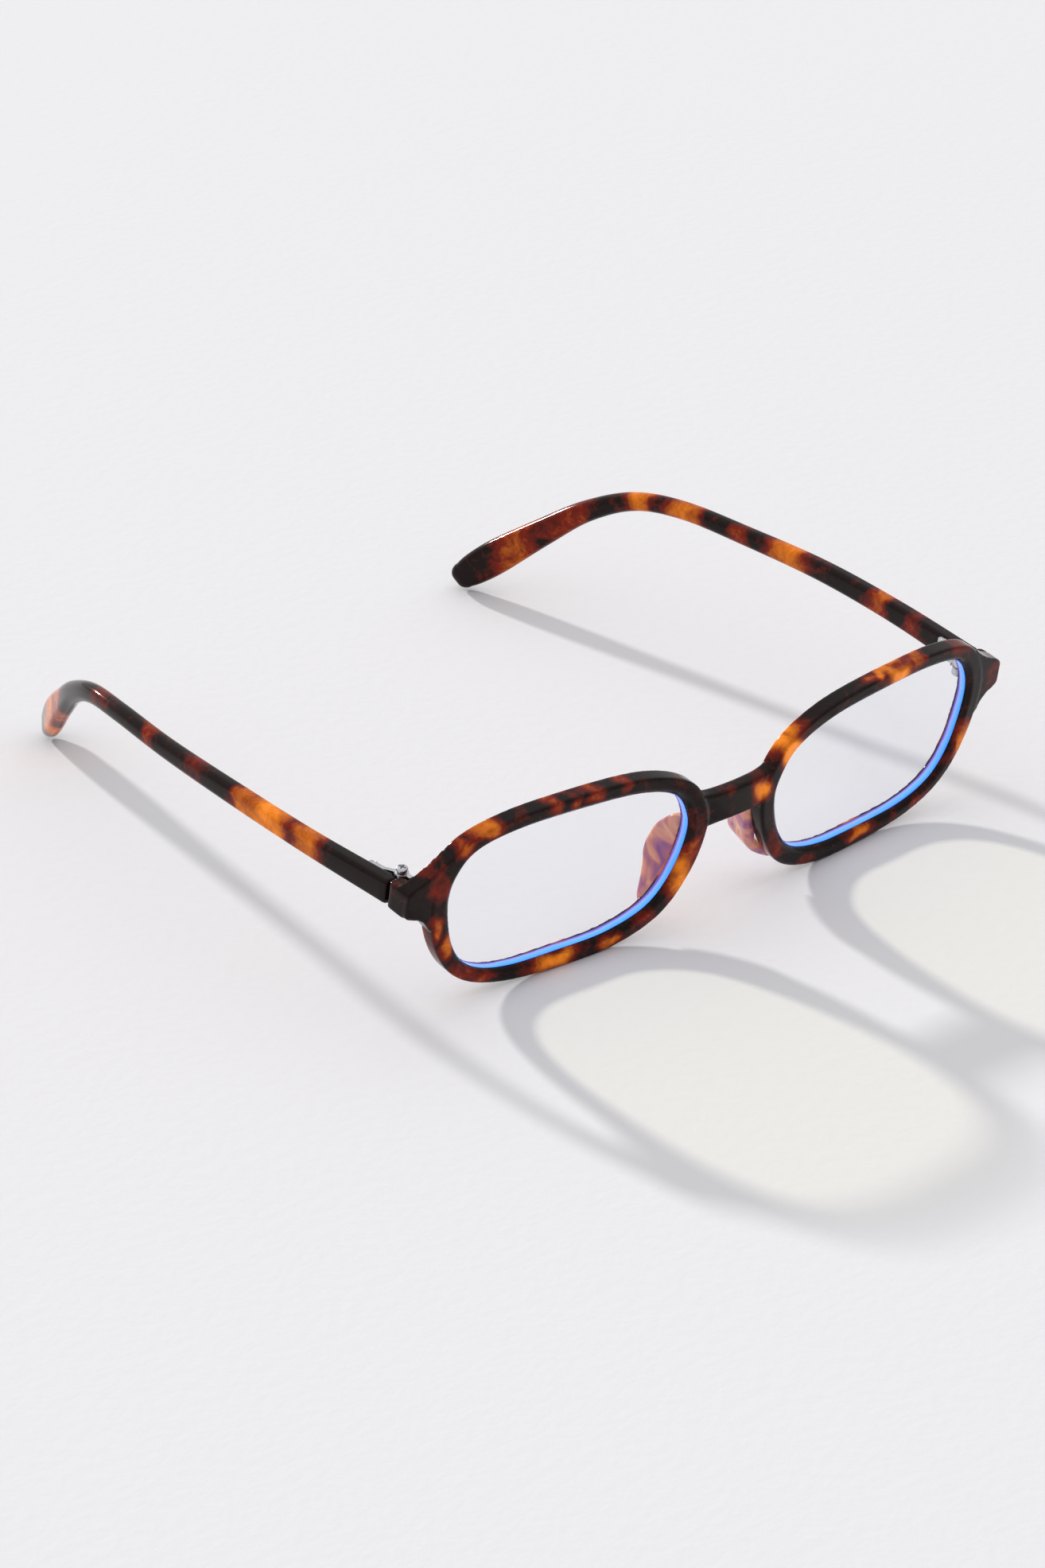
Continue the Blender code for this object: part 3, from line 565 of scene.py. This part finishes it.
def steel_material(name, colours):
    material, tree, shader, place = new_material(name)
    shader.inputs["Metallic"].default_value = 1.0
    brushed = node(tree, "ShaderNodeMapping", -1000, 0)
    brushed.inputs["Scale"].default_value = (1.0, 0.12, 1.0)
    streaks = node(tree, "ShaderNodeTexNoise", -800, 150)
    streaks.inputs["Scale"].default_value = 5200.0
    tone = node(tree, "ShaderNodeValToRGB", -600, 150)
    tone.color_ramp.elements[0].color = (*[c * 0.72 for c in colours.steel], 1.0)
    tone.color_ramp.elements[1].color = (*[min(c * 1.25, 1.0) for c in colours.steel], 1.0)
    tree.links.new(place, brushed.inputs["Vector"])
    tree.links.new(brushed.outputs["Vector"], streaks.inputs["Vector"])
    tree.links.new(streaks.outputs["Fac"], tone.inputs["Fac"])
    tree.links.new(tone.outputs["Color"], shader.inputs["Base Color"])
    add_polish(tree, shader, place, 2600.0, 0.16, 0.34, 0.08)
    return material


def lens_material(name):
    """Clear lens with a blue-violet coating; light that falls through it turns a little yellow."""
    material, tree, shader, place = new_material(name)
    out = tree.nodes["Material Output"]
    shader.inputs["Base Color"].default_value = (0.60, 0.58, 1.0, 1.0)
    shader.inputs["Metallic"].default_value = 1.0
    shader.inputs["Roughness"].default_value = 0.02
    clear = node(tree, "ShaderNodeBsdfTransparent", -200, 250)
    sheet = node(tree, "ShaderNodeTexNoise", -900, 300)
    sheet.inputs["Scale"].default_value = 45.0
    tint = node(tree, "ShaderNodeValToRGB", -700, 300)
    tint.color_ramp.elements[0].position = 0.35
    tint.color_ramp.elements[1].position = 0.65
    tint.color_ramp.elements[0].color = (0.982, 0.992, 0.995, 1.0)
    tint.color_ramp.elements[1].color = (0.99, 0.997, 0.998, 1.0)
    tree.links.new(place, sheet.inputs["Vector"])
    tree.links.new(sheet.outputs["Fac"], tint.inputs["Fac"])
    tree.links.new(tint.outputs["Color"], clear.inputs["Color"])
    slant = node(tree, "ShaderNodeLayerWeight", -1000, 500)
    slant.inputs["Blend"].default_value = 0.5
    steep = node(tree, "ShaderNodeMath", -800, 500, operation="POWER")
    steep.inputs[1].default_value = 4.5
    mirror = node(tree, "ShaderNodeMapRange", -600, 500)
    mirror.inputs["To Min"].default_value = 0.02
    mirror.inputs["To Max"].default_value = 0.85
    outside = node(tree, "ShaderNodeNewGeometry", -800, 750)
    front_only = node(tree, "ShaderNodeMapRange", -600, 750)
    front_only.inputs["To Min"].default_value = 1.0
    front_only.inputs["To Max"].default_value = 0.0
    strength = node(tree, "ShaderNodeMath", -300, 600, operation="MULTIPLY")
    tree.links.new(slant.outputs["Facing"], steep.inputs[0])
    tree.links.new(steep.outputs[0], mirror.inputs["Value"])
    tree.links.new(outside.outputs["Backfacing"], front_only.inputs["Value"])
    tree.links.new(mirror.outputs["Result"], strength.inputs[0])
    tree.links.new(front_only.outputs["Result"], strength.inputs[1])
    coated = node(tree, "ShaderNodeMixShader", 50, 200)
    tree.links.new(strength.outputs[0], coated.inputs["Fac"])
    tree.links.new(clear.outputs["BSDF"], coated.inputs[1])
    tree.links.new(shader.outputs["BSDF"], coated.inputs[2])
    passed = node(tree, "ShaderNodeBsdfTransparent", -200, -150)
    passed.inputs["Color"].default_value = (0.985, 0.985, 0.89, 1.0)
    rays = node(tree, "ShaderNodeLightPath", -200, 600)
    both = node(tree, "ShaderNodeMixShader", 280, 200)
    tree.links.new(rays.outputs["Is Shadow Ray"], both.inputs["Fac"])
    tree.links.new(coated.outputs["Shader"], both.inputs[1])
    tree.links.new(passed.outputs["BSDF"], both.inputs[2])
    tree.links.new(both.outputs["Shader"], out.inputs["Surface"])
    return material


def lens_edge_glow_material(name):
    """Ground edge of the lens, painted blue to violet and given a painted glow, in place of the coating's blue
    light gathering there.
    """
    material, tree, shader, place = new_material(name)
    depth = node(tree, "ShaderNodeAttribute", -1100, 350, attribute_name="depth")
    bands = node(tree, "ShaderNodeTexNoise", -1000, 100)
    bands.inputs["Scale"].default_value = 140.0
    wander = node(tree, "ShaderNodeMapRange", -800, 100)
    wander.inputs["To Min"].default_value = -0.12
    wander.inputs["To Max"].default_value = 0.12
    place_in = node(tree, "ShaderNodeMath", -700, 300, operation="ADD")
    tone = node(tree, "ShaderNodeValToRGB", -500, 150)
    # painted colour: azure at the front of the edge, violet at the back, standing in for the coating's reflected
    # and piped blue light
    stops = [(0.30, (0.03, 0.12, 0.75)), (0.40, (0.05, 0.32, 0.95)), (0.58, (0.09, 0.40, 1.0)),
             (0.68, (0.30, 0.36, 0.95)), (0.80, (0.12, 0.08, 0.42))]
    while len(tone.color_ramp.elements) < len(stops):
        tone.color_ramp.elements.new(0.5)
    for element, (share, colour) in zip(tone.color_ramp.elements, stops):
        element.position = share
        element.color = (*colour, 1.0)
    tree.links.new(place, bands.inputs["Vector"])
    tree.links.new(bands.outputs["Fac"], wander.inputs["Value"])
    tree.links.new(depth.outputs["Fac"], place_in.inputs[0])
    tree.links.new(wander.outputs["Result"], place_in.inputs[1])
    tree.links.new(place_in.outputs[0], tone.inputs["Fac"])
    tree.links.new(tone.outputs["Color"], shader.inputs["Base Color"])
    tree.links.new(tone.outputs["Color"], shader.inputs["Emission Color"])
    # painted glow of the edge
    shader.inputs["Emission Strength"].default_value = 0.5
    add_polish(tree, shader, place, 900.0, 0.15, 0.35, 0.05)
    return material


def floor_material(name, colours):
    """Pale paper with a fine tooth."""
    material, tree, shader, place = new_material(name)
    tooth = node(tree, "ShaderNodeTexNoise", -900, -200)
    tooth.inputs["Scale"].default_value = 420.0
    tooth.inputs["Detail"].default_value = 5.0
    tooth.inputs["Roughness"].default_value = 0.55
    cloud = node(tree, "ShaderNodeTexNoise", -900, 200)
    cloud.inputs["Scale"].default_value = 3.0
    tone = node(tree, "ShaderNodeValToRGB", -650, 200)
    tone.color_ramp.elements[0].color = (*[c * 0.985 for c in colours.floor], 1.0)
    tone.color_ramp.elements[1].color = (*colours.floor, 1.0)
    bump = node(tree, "ShaderNodeBump", -400, -200)
    bump.inputs["Strength"].default_value = 0.12
    bump.inputs["Distance"].default_value = 0.0006
    tree.links.new(place, tooth.inputs["Vector"])
    tree.links.new(place, cloud.inputs["Vector"])
    tree.links.new(cloud.outputs["Fac"], tone.inputs["Fac"])
    tree.links.new(tone.outputs["Color"], shader.inputs["Base Color"])
    tree.links.new(tooth.outputs["Fac"], bump.inputs["Height"])
    tree.links.new(bump.outputs["Normal"], shader.inputs["Normal"])
    shader.inputs["Roughness"].default_value = 0.85
    shader.inputs["Specular IOR Level"].default_value = 0.1
    return material


# ---------------------------------------------------------------- the front

def rim_rings(plan, side, count=240):
    """Rings round one rim, from the lip over the front, the outside and the back."""
    angles = plan.stations(count)
    inner = plan.opening_radii(angles)
    widths = plan.rim_widths(angles)
    depth = plan.s.front_depth
    rings = []
    flat = [(0.0, 0.62), (0.95, 0.0), (1.0, 0.0), (1.0, depth), (0.0, depth), (0.0, 2.36), (0.9, 1.78),
            (0.0, 1.2)]
    for share, (out, back) in enumerate(flat):
        if share in (2, 3):
            for step in range(5):
                turn = math.pi / 2 * step / 4
                near, far = 0.42 * (1 - math.sin(turn)), 0.42 * (1 - math.cos(turn))
                inset, rise = (near, far) if share == 2 else (far, -near)
                rings.append([plan.rim_point(side, a, r + w - inset, back + rise)
                              for a, r, w in zip(angles, inner, widths)])
        else:
            rings.append([plan.rim_point(side, a, r + out, back) for a, r in zip(angles, inner)])
    return rings


def bridge_rings(plan):
    s = plan.s
    middle = plan.end_middle
    half = s.bridge_gap / 2 - 1.6
    near, far = s.bridge_set_back, s.front_depth - 0.15
    rings = []
    for x in np.linspace(-half, half, 31):
        flare = 1.1 * abs(x / half) ** 5
        low, high = middle - s.bridge_height / 2 - flare * 0.8, middle + s.bridge_height / 2 + flare
        section = soft_corners([(near, low), (near, high), (far, high), (far, low)], 0.7, 4)
        rings.append([(x, plan.front_y(x) + y, z) for y, z in section])
    return rings


def add_end_piece(bm, plan, side):
    s = plan.s
    inside = plan.side + 1.2
    corner = plan.side + s.end_out - 0.2
    low, high = plan.end_middle - s.end_height / 2 + 0.2, plan.end_middle + s.end_height / 2 + 0.1
    outline = [(inside, low - 3.5), (corner - 5.4, low - 4.2), (corner - 4.5, low - 2.6), (corner - 3.5, low - 1.3),
               (corner - 1.9, low - 0.5), (corner, low), (corner, high), (corner - 1.8, high + 1.0),
               (corner - 3.6, high + 1.9), (corner - 5.6, high + 3.2), (corner - 7.6, high + 4.9),
               (inside - 0.6, high + 5.4)]
    points = [(side * x, plan.front_y(x) + 0.1, z) for x, z in outline]
    add_block(bm, soft_corners(points, 1.0, 3), (0.0, s.front_depth - 0.2, 0.0), 0.4)
    front = plan.front_y(plan.end_outer) + 0.45
    back = plan.front_y(plan.end_outer) + s.front_depth
    inner = plan.end_outer - s.temple_thickness - 0.2
    outer = plan.end_outer
    outline = soft_corners([(inner - 0.9, front, 0.0), (outer - 0.1, front, 0.0), (outer, plan.end_back, 0.0),
                            (inner, plan.end_back, 0.0), (inner, back - 0.15, 0.0)], 1.3)
    low, high = plan.end_middle - s.end_height / 2, plan.end_middle + s.end_height / 2
    add_block(bm, [(side * x, y, low) for x, y, z in outline], (0.0, 0.0, high - low), 0.8)


class GLASSES_OT_front(bpy.types.Operator):
    """Moulded front: both rims, the bridge and the end pieces in one."""

    bl_idname = "glasses.front"
    bl_label = "Front"

    def execute(self, context):
        plan = Plan(context.scene.glasses_sizes)
        bm = bmesh.new()
        for side, hand in SIDES:
            skin(bm, rim_rings(plan, side), closed=True)
        skin(bm, bridge_rings(plan))
        for side, hand in SIDES:
            add_end_piece(bm, plan, side)
        front = as_object("moulded_front", bm)
        shell = front.modifiers.new("one skin", "REMESH")
        shell.mode = "VOXEL"
        shell.voxel_size = plan.s.grain
        soft = front.modifiers.new("polish", "SMOOTH")
        soft.factor = 0.5
        soft.iterations = 4
        settle(front)
        bm = bmesh.new()
        for side, hand in SIDES:
            add_drum(bm, (side * plan.axis_x, plan.axis_y), plan.s.knuckle_radius + 0.3,
                     plan.end_middle - 8.0, plan.end_middle + 8.0, 0.05)
        cut(front, as_object("knuckle_room", bm))
        paint_warmth(front, front_warmth)
        look = tortoise_material("tortoiseshell front", context.scene.glasses_colours, 170.0, 0.55,
                                 (0.013, 0.0, 0.021))
        finish_piece(front, plan, look, "front", ["frame_front"], 50)
        return {"FINISHED"}


# ---------------------------------------------------------------- lenses

def lens_rings(plan, side, count=200):
    """Rings from the middle of the front face, over the ground edge, to the back."""
    s = plan.s
    angles = plan.stations(count)
    inner = plan.opening_radii(angles) - 0.3
    near, far = 1.78 - s.lens_thickness / 2, 1.78 + s.lens_thickness / 2
    profile = [(0.05, 0.0, near), (0.3, 0.0, near), (0.6, 0.0, near), (0.85, 0.0, near),
               (1.0, 0.17, near), (1.0, 0.25, near + 0.08), (1.0, 0.25, 1.5), (1.0, 0.28, 1.78),
               (1.0, 0.25, 2.06), (1.0, 0.25, far - 0.08), (1.0, 0.17, far), (0.85, 0.0, far),
               (0.6, 0.0, far), (0.3, 0.0, far), (0.05, 0.0, far)]
    return [[plan.rim_point(side, a, r * share + out, depth) for a, r in zip(angles, inner)]
            for share, out, depth in profile]


class GLASSES_OT_lenses(bpy.types.Operator):
    """The two clear coated lenses, each with its ground edge."""

    bl_idname = "glasses.lenses"
    bl_label = "Lenses"

    def execute(self, context):
        plan = Plan(context.scene.glasses_sizes)
        clear = lens_material("coated lens")
        edge = lens_edge_glow_material("lens edge painted glow")
        for side, hand in SIDES:
            bm = bmesh.new()
            skin(bm, lens_rings(plan, side))
            lens = as_object(hand + "_clear_lens", bm)
            paint_warmth(lens, lambda co: (co.y - plan.front_y(co.x)) / plan.s.front_depth, "depth")
            finish_piece(lens, plan, clear, "front", [hand + "_lens"], 35)
            lens.data.materials.append(edge)
            forward = plan.stand.to_3x3() @ Vector((0.0, -1000.0, 0.0))
            # the side faces get the edge finish with its painted blue glow
            for face in lens.data.polygons:
                if abs(face.normal.dot(forward.normalized())) < 0.75:
                    face.material_index = 1
        return {"FINISHED"}


# ---------------------------------------------------------------- nose pads

class GLASSES_OT_pads(bpy.types.Operator):
    """The two swept nose pads."""

    bl_idname = "glasses.pads"
    bl_label = "Nose Pads"

    def execute(self, context):
        plan = Plan(context.scene.glasses_sizes)
        s = plan.s
        run = rounded_run(PAD_RUN, 10)
        look = pad_material("clear pink pads", context.scene.glasses_colours)
        for side, hand in SIDES:
            bm = bmesh.new()
            rings = []
            for i, (out, rise, share) in enumerate(run):
                step = run[min(i + 1, len(run) - 1)] - run[max(i - 1, 0)]
                across = Vector((-step[1], 0.0, step[0])).normalized()
                base = Vector((s.bridge_gap / 2 + out, 0.0, s.centre_height + rise))
                half = s.pad_thickness / 2 * (0.5 + 0.5 * min(1.0, share / 0.7))
                reach = share * s.pad_reach + 0.5
                section = soft_corners([(0.0, -half), (0.0, half), (reach, half), (reach, -half)], 1.0, 6)
                ring = []
                for back, aside in section:
                    p = base + across * aside
                    ring.append((side * (p.x + 0.2 * back),
                                 plan.front_y(base.x) + s.front_depth - 0.05 + 0.98 * back, p.z))
                rings.append(ring)
            skin(bm, rings)
            pad = as_object(hand + "_swept_pad", bm)
            finish_piece(pad, plan, look, "front", [hand + "_nose_pad"], 60)
        return {"FINISHED"}


# ---------------------------------------------------------------- temples

def temple_stations(plan):
    s = plan.s
    start = (plan.end_outer - s.temple_thickness / 2 - 0.05, plan.end_back + 0.3, plan.end_middle - 0.25)
    run = [(start[0] + bow, start[1] + share * s.shaft_length, start[2] + rise,
            thick * s.temple_thickness, high * s.temple_height, corner)
           for share, bow, rise, thick, high, corner in SHAFT]
    bend = run[-1]
    run += [(bend[0] - inward * s.tip_length, bend[1] + back * s.tip_length, bend[2] + down * s.tip_length,
             thick * s.temple_thickness, high * s.temple_height, corner)
            for inward, back, down, thick, high, corner in TIP]
    return run


def temple_ring(place, along, thickness, height, radius):
    """Rounded section square to the run of the temple."""
    across = along.cross(Vector((0, 0, 1))).normalized()
    up = across.cross(along).normalized()
    radius = min(radius, thickness / 2 - 0.02, height / 2 - 0.02)
    ring = []
    for quarter, (sx, sz) in enumerate(((1, 1), (-1, 1), (-1, -1), (1, -1))):
        for k in range(9):
            turn = math.pi / 2 * (quarter + k / 8)
            a = sx * (thickness / 2 - radius) + radius * math.cos(turn)
            b = sz * (height / 2 - radius) + radius * math.sin(turn)
            ring.append(place + across * a + up * b)
    return ring


def temple_rings(plan):
    run = rounded_run(temple_stations(plan), 14)
    for k in range(14):
        run[k - 14][4] *= 1.0 - 0.24 * ((k + 1) / 14) ** 2
    rings = []
    for i, station in enumerate(run):
        before, after = run[max(i - 1, 0)], run[min(i + 1, len(run) - 1)]
        along = Vector(after[:3] - before[:3]).normalized()
        if i == 0:
            along = Vector((0.0, 1.0, 0.0))
            for ahead, less in ((0.0, 0.5), (0.08, 0.2), (0.22, 0.05)):
                rings.append(temple_ring(Vector(station[:3]) + along * ahead, along, station[3] - less,
                                         station[4] - less, station[5]))
            rings.append(temple_ring(Vector(station[:3]) + along * 0.45, along, *station[3:]))
            continue
        rings.append(temple_ring(Vector(station[:3]), along, *station[3:]))
    for step in range(1, 10):
        turn = math.pi / 2 * step / 9.4
        place = Vector(run[-1][:3]) + along * (2.5 * math.sin(turn))
        rings.append(temple_ring(place, along, run[-1][3] * math.cos(turn) ** 0.7,
                                 run[-1][4] * math.cos(turn) ** 0.6,
                                 run[-1][5]))
    return rings


class GLASSES_OT_temples(bpy.types.Operator):
    """The two folding temples with dropped tips."""

    bl_idname = "glasses.temples"
    bl_label = "Temples"

    def execute(self, context):
        plan = Plan(context.scene.glasses_sizes)
        colours = context.scene.glasses_colours
        for side, hand in SIDES:
            bm = bmesh.new()
            skin(bm, [[(side * p.x, p.y, p.z) for p in ring] for ring in temple_rings(plan)])
            arm = as_object(hand + "_folding_arm", bm)
            bm = bmesh.new()
            add_drum(bm, (side * plan.axis_x, plan.axis_y), plan.s.knuckle_radius + 0.3,
                     plan.end_middle - 8.0, plan.end_middle + 8.0, 0.05)
            cut(arm, as_object("knuckle_room", bm))
            paint_warmth(arm, temple_warmth(side, RIGHT_PATCHES if side > 0 else LEFT_PATCHES))
            look = tortoise_material("tortoiseshell " + hand + " temple", colours, 170.0, 0.55,
                                     (0.0, 0.03 * side, 0.0))
            finish_piece(arm, plan, look, hand + "_arm", [hand + "_temple"], 45)
        return {"FINISHED"}


# ---------------------------------------------------------------- hinges

def add_knuckle(bm, plan, side, toward, low, high):
    """Round barrel with a short arm into its leaf; the way toward is 1 for the temple."""
    x, y, r = side * plan.axis_x, plan.axis_y, plan.s.knuckle_radius
    add_drum(bm, (x, y), r, low, high)
    outline = [(x - 0.8 * side, y), (x + 0.1 * side, y), (x + 0.1 * side, y + toward * (r + 0.8)),
               (x - 0.8 * side, y + toward * (r + 0.8))]
    add_block(bm, [(a, b, low + 0.02) for a, b in outline], (0.0, 0.0, high - low - 0.04), 0.08, 2)


def leaf_outline(plan, side, points):
    return [(side * (plan.axis_x + x), plan.axis_y + y, z) for x, y, z in points]


class GLASSES_OT_hinges(bpy.types.Operator):
    """Four hinge leaves and two cross-head screws."""

    bl_idname = "glasses.hinges"
    bl_label = "Hinges"

    def execute(self, context):
        plan = Plan(context.scene.glasses_sizes)
        steel = steel_material("hinge steel", context.scene.glasses_colours)
        low, top, mid = plan.hinge_low, plan.hinge_top, plan.end_middle
        for side, hand in SIDES:
            bm = bmesh.new()
            add_knuckle(bm, plan, side, -1, low, mid - 1.05)
            add_knuckle(bm, plan, side, -1, mid + 1.05, top)
            reach = plan.axis_y - plan.front_y(plan.axis_x) - plan.s.front_depth + 1.7
            plate = [(-0.8, -1.65, mid - 1.85), (-0.8, -reach, mid - 1.85), (-0.8, -reach, mid + 1.85),
                     (-0.8, -1.65, mid + 1.85)]
            add_block(bm, leaf_outline(plan, side, plate), (0.9 * side, 0.0, 0.0), 0.1, 2)
            leaf = as_object(hand + "_fixed_leaf", bm)
            finish_piece(leaf, plan, steel, "front", [hand + "_front_hinge_leaf"], 35)

            bm = bmesh.new()
            add_knuckle(bm, plan, side, 1, mid - 0.75, mid + 0.75)
            bend = [(-0.8, 1.5, mid - 1.6), (0.1, 1.5, mid - 1.6), (1.35, 3.3, mid - 1.6),
                    (0.45, 3.3, mid - 1.6)]
            add_block(bm, leaf_outline(plan, side, bend), (0.0, 0.0, 3.25), 0.1, 2)
            plate = [(0.42, 3.0, mid - 1.85), (0.72, 6.8, mid - 1.85), (0.72, 6.8, mid + 1.1),
                     (0.42, 3.0, mid + 1.6)]
            add_block(bm, leaf_outline(plan, side, plate), (0.9 * side, 0.0, 0.0), 0.1, 2)
            for y in (4.3, 5.7):
                made = bmesh.ops.create_uvsphere(bm, u_segments=24, v_segments=12, radius=0.42)["verts"]
                bmesh.ops.scale(bm, verts=made, vec=(0.6, 1.0, 1.0))
                bmesh.ops.translate(bm, verts=made, vec=(side * (plan.axis_x + 0.28 + 0.06 * y),
                                                         plan.axis_y + y, mid + 0.9))
            leaf = as_object(hand + "_moving_leaf", bm)
            finish_piece(leaf, plan, steel, hand + "_arm", [hand + "_temple_hinge_leaf"], 35)
            self.screw(plan, side, hand, steel)
        return {"FINISHED"}

    def screw(self, plan, side, hand, steel):
        """Turned screw: a shank, a low domed head and a cross recess."""
        low, under = plan.hinge_low - 0.1, plan.hinge_top + 0.25
        profile = [(0.0, low), (0.35, low), (0.5, low + 0.2), (0.5, under), (0.95, under),
                   (1.05, under + 0.12), (1.05, under + 0.4), (0.98, under + 0.56), (0.8, under + 0.68),
                   (0.5, under + 0.74), (0.0, under + 0.75)]
        bm = bmesh.new()
        verts = [bm.verts.new((side * plan.axis_x + r, plan.axis_y, z)) for r, z in profile]
        edges = [bm.edges.new(pair) for pair in zip(verts[:-1], verts[1:])]
        bmesh.ops.spin(bm, geom=verts + edges, cent=(side * plan.axis_x, plan.axis_y, 0.0),
                       axis=(0.0, 0.0, 1.0), angle=2 * math.pi, steps=48, use_merge=True)
        bmesh.ops.remove_doubles(bm, verts=bm.verts, dist=0.0005)
        screw = as_object(hand + "_cross_head_screw", bm)
        bm = bmesh.new()
        for turn in (25, 115):
            along = Vector((math.cos(math.radians(turn)), math.sin(math.radians(turn)), 0.0))
            aside = Vector((-along.y, along.x, 0.0))
            middle = Vector((side * plan.axis_x, plan.axis_y, under + 0.32))
            outline = [middle + along * a * 0.66 + aside * b * 0.15
                       for a, b in ((1, 1), (-1, 1), (-1, -1), (1, -1))]
            add_block(bm, outline, (0.0, 0.0, 1.0))
            if turn == 25:
                first = as_object("recess_slot", bm)
                cut(screw, first)
                bm = bmesh.new()
        cut(screw, as_object("recess_slot", bm))
        finish_piece(screw, plan, steel, "front", [hand + "_hinge_screw"], 35)


# ---------------------------------------------------------------- the set

class GLASSES_OT_stage(bpy.types.Operator):
    """Pale paper floor, soft light from behind and the camera."""

    bl_idname = "glasses.stage"
    bl_label = "Stage"

    def execute(self, context):
        colours = context.scene.glasses_colours
        bm = bmesh.new()
        bmesh.ops.create_grid(bm, x_segments=4, y_segments=4, size=4.0)
        mesh = bpy.data.meshes.new("paper_floor")
        bm.to_mesh(mesh)
        bm.free()
        floor = bpy.data.objects.new("paper_floor", mesh)
        floor.data.materials.append(floor_material("pale paper", colours))
        context.collection.objects.link(floor)

        world = bpy.data.worlds.new("soft room")
        world.use_nodes = True
        tree = world.node_tree
        way = node(tree, "ShaderNodeTexCoord", -900, 0)
        split = node(tree, "ShaderNodeSeparateXYZ", -700, 0)
        above = node(tree, "ShaderNodeMath", -500, 100, operation="MULTIPLY_ADD", use_clamp=True)
        above.inputs[1].default_value = 0.4
        above.inputs[2].default_value = 0.5
        behind = node(tree, "ShaderNodeMath", -300, 0, operation="MULTIPLY_ADD")
        behind.inputs[1].default_value = 0.14
        tree.links.new(way.outputs["Object"], split.inputs["Vector"])
        tree.links.new(split.outputs["Z"], above.inputs[0])
        tree.links.new(split.outputs["Y"], behind.inputs[0])
        tree.links.new(above.outputs[0], behind.inputs[2])
        tree.links.new(behind.outputs[0], tree.nodes["Background"].inputs["Strength"])
        tree.nodes["Background"].inputs["Color"].default_value = (0.985, 0.985, 1.0, 1.0)
        context.scene.world = world
        context.scene.view_settings.view_transform = "Standard"

        lamp = bpy.data.lights.new("low window", "SUN")
        lamp.energy = 2.75
        lamp.angle = math.radians(4.0)
        lamp.color = (1.0, 0.985, 0.95)
        key = bpy.data.objects.new("low_window", lamp)
        key.rotation_euler = (math.radians(-70.0), 0.0, 0.0)
        context.collection.objects.link(key)

        view = bpy.data.cameras.new("studio camera")
        view.lens = 121.13
        view.sensor_width = 36.0
        view.clip_start = 0.02
        view.clip_end = 20.0
        camera = bpy.data.objects.new("studio_camera", view)
        turn = (Matrix.Rotation(math.radians(-40.66), 4, "Z") @ Matrix.Rotation(math.radians(62.75), 4, "X")
                @ Matrix.Rotation(math.radians(0.2), 4, "Z"))
        camera.matrix_world = Matrix.Translation((-0.54742, -0.64759, 0.43611)) @ turn
        context.collection.objects.link(camera)
        context.scene.camera = camera
        return {"FINISHED"}


class GLASSES_PT_panel(bpy.types.Panel):
    """Lists the pieces and their sizes in the sidebar."""

    bl_idname = "GLASSES_PT_panel"
    bl_label = "Glasses"
    bl_space_type = "VIEW_3D"
    bl_region_type = "UI"
    bl_category = "Glasses"

    def draw(self, context):
        for operator in BUILDERS:
            self.layout.operator(operator.bl_idname)
        for group in (context.scene.glasses_sizes, context.scene.glasses_colours):
            box = self.layout.box()
            for name in group.__annotations__:
                box.prop(group, name)


BUILDERS = [GLASSES_OT_front, GLASSES_OT_lenses, GLASSES_OT_pads, GLASSES_OT_temples, GLASSES_OT_hinges,
            GLASSES_OT_stage]
CLASSES = [GlassesSizes, GlassesColours] + BUILDERS + [GLASSES_PT_panel]


def register():
    for item in CLASSES:
        bpy.utils.register_class(item)
    bpy.types.Scene.glasses_sizes = PointerProperty(type=GlassesSizes)
    bpy.types.Scene.glasses_colours = PointerProperty(type=GlassesColours)


def unregister():
    del bpy.types.Scene.glasses_colours
    del bpy.types.Scene.glasses_sizes
    for item in reversed(CLASSES):
        bpy.utils.unregister_class(item)


def main():
    register()
    bpy.ops.glasses.front()
    bpy.ops.glasses.lenses()
    bpy.ops.glasses.pads()
    bpy.ops.glasses.temples()
    bpy.ops.glasses.hinges()
    bpy.ops.glasses.stage()


if __name__ == "__main__":
    main()
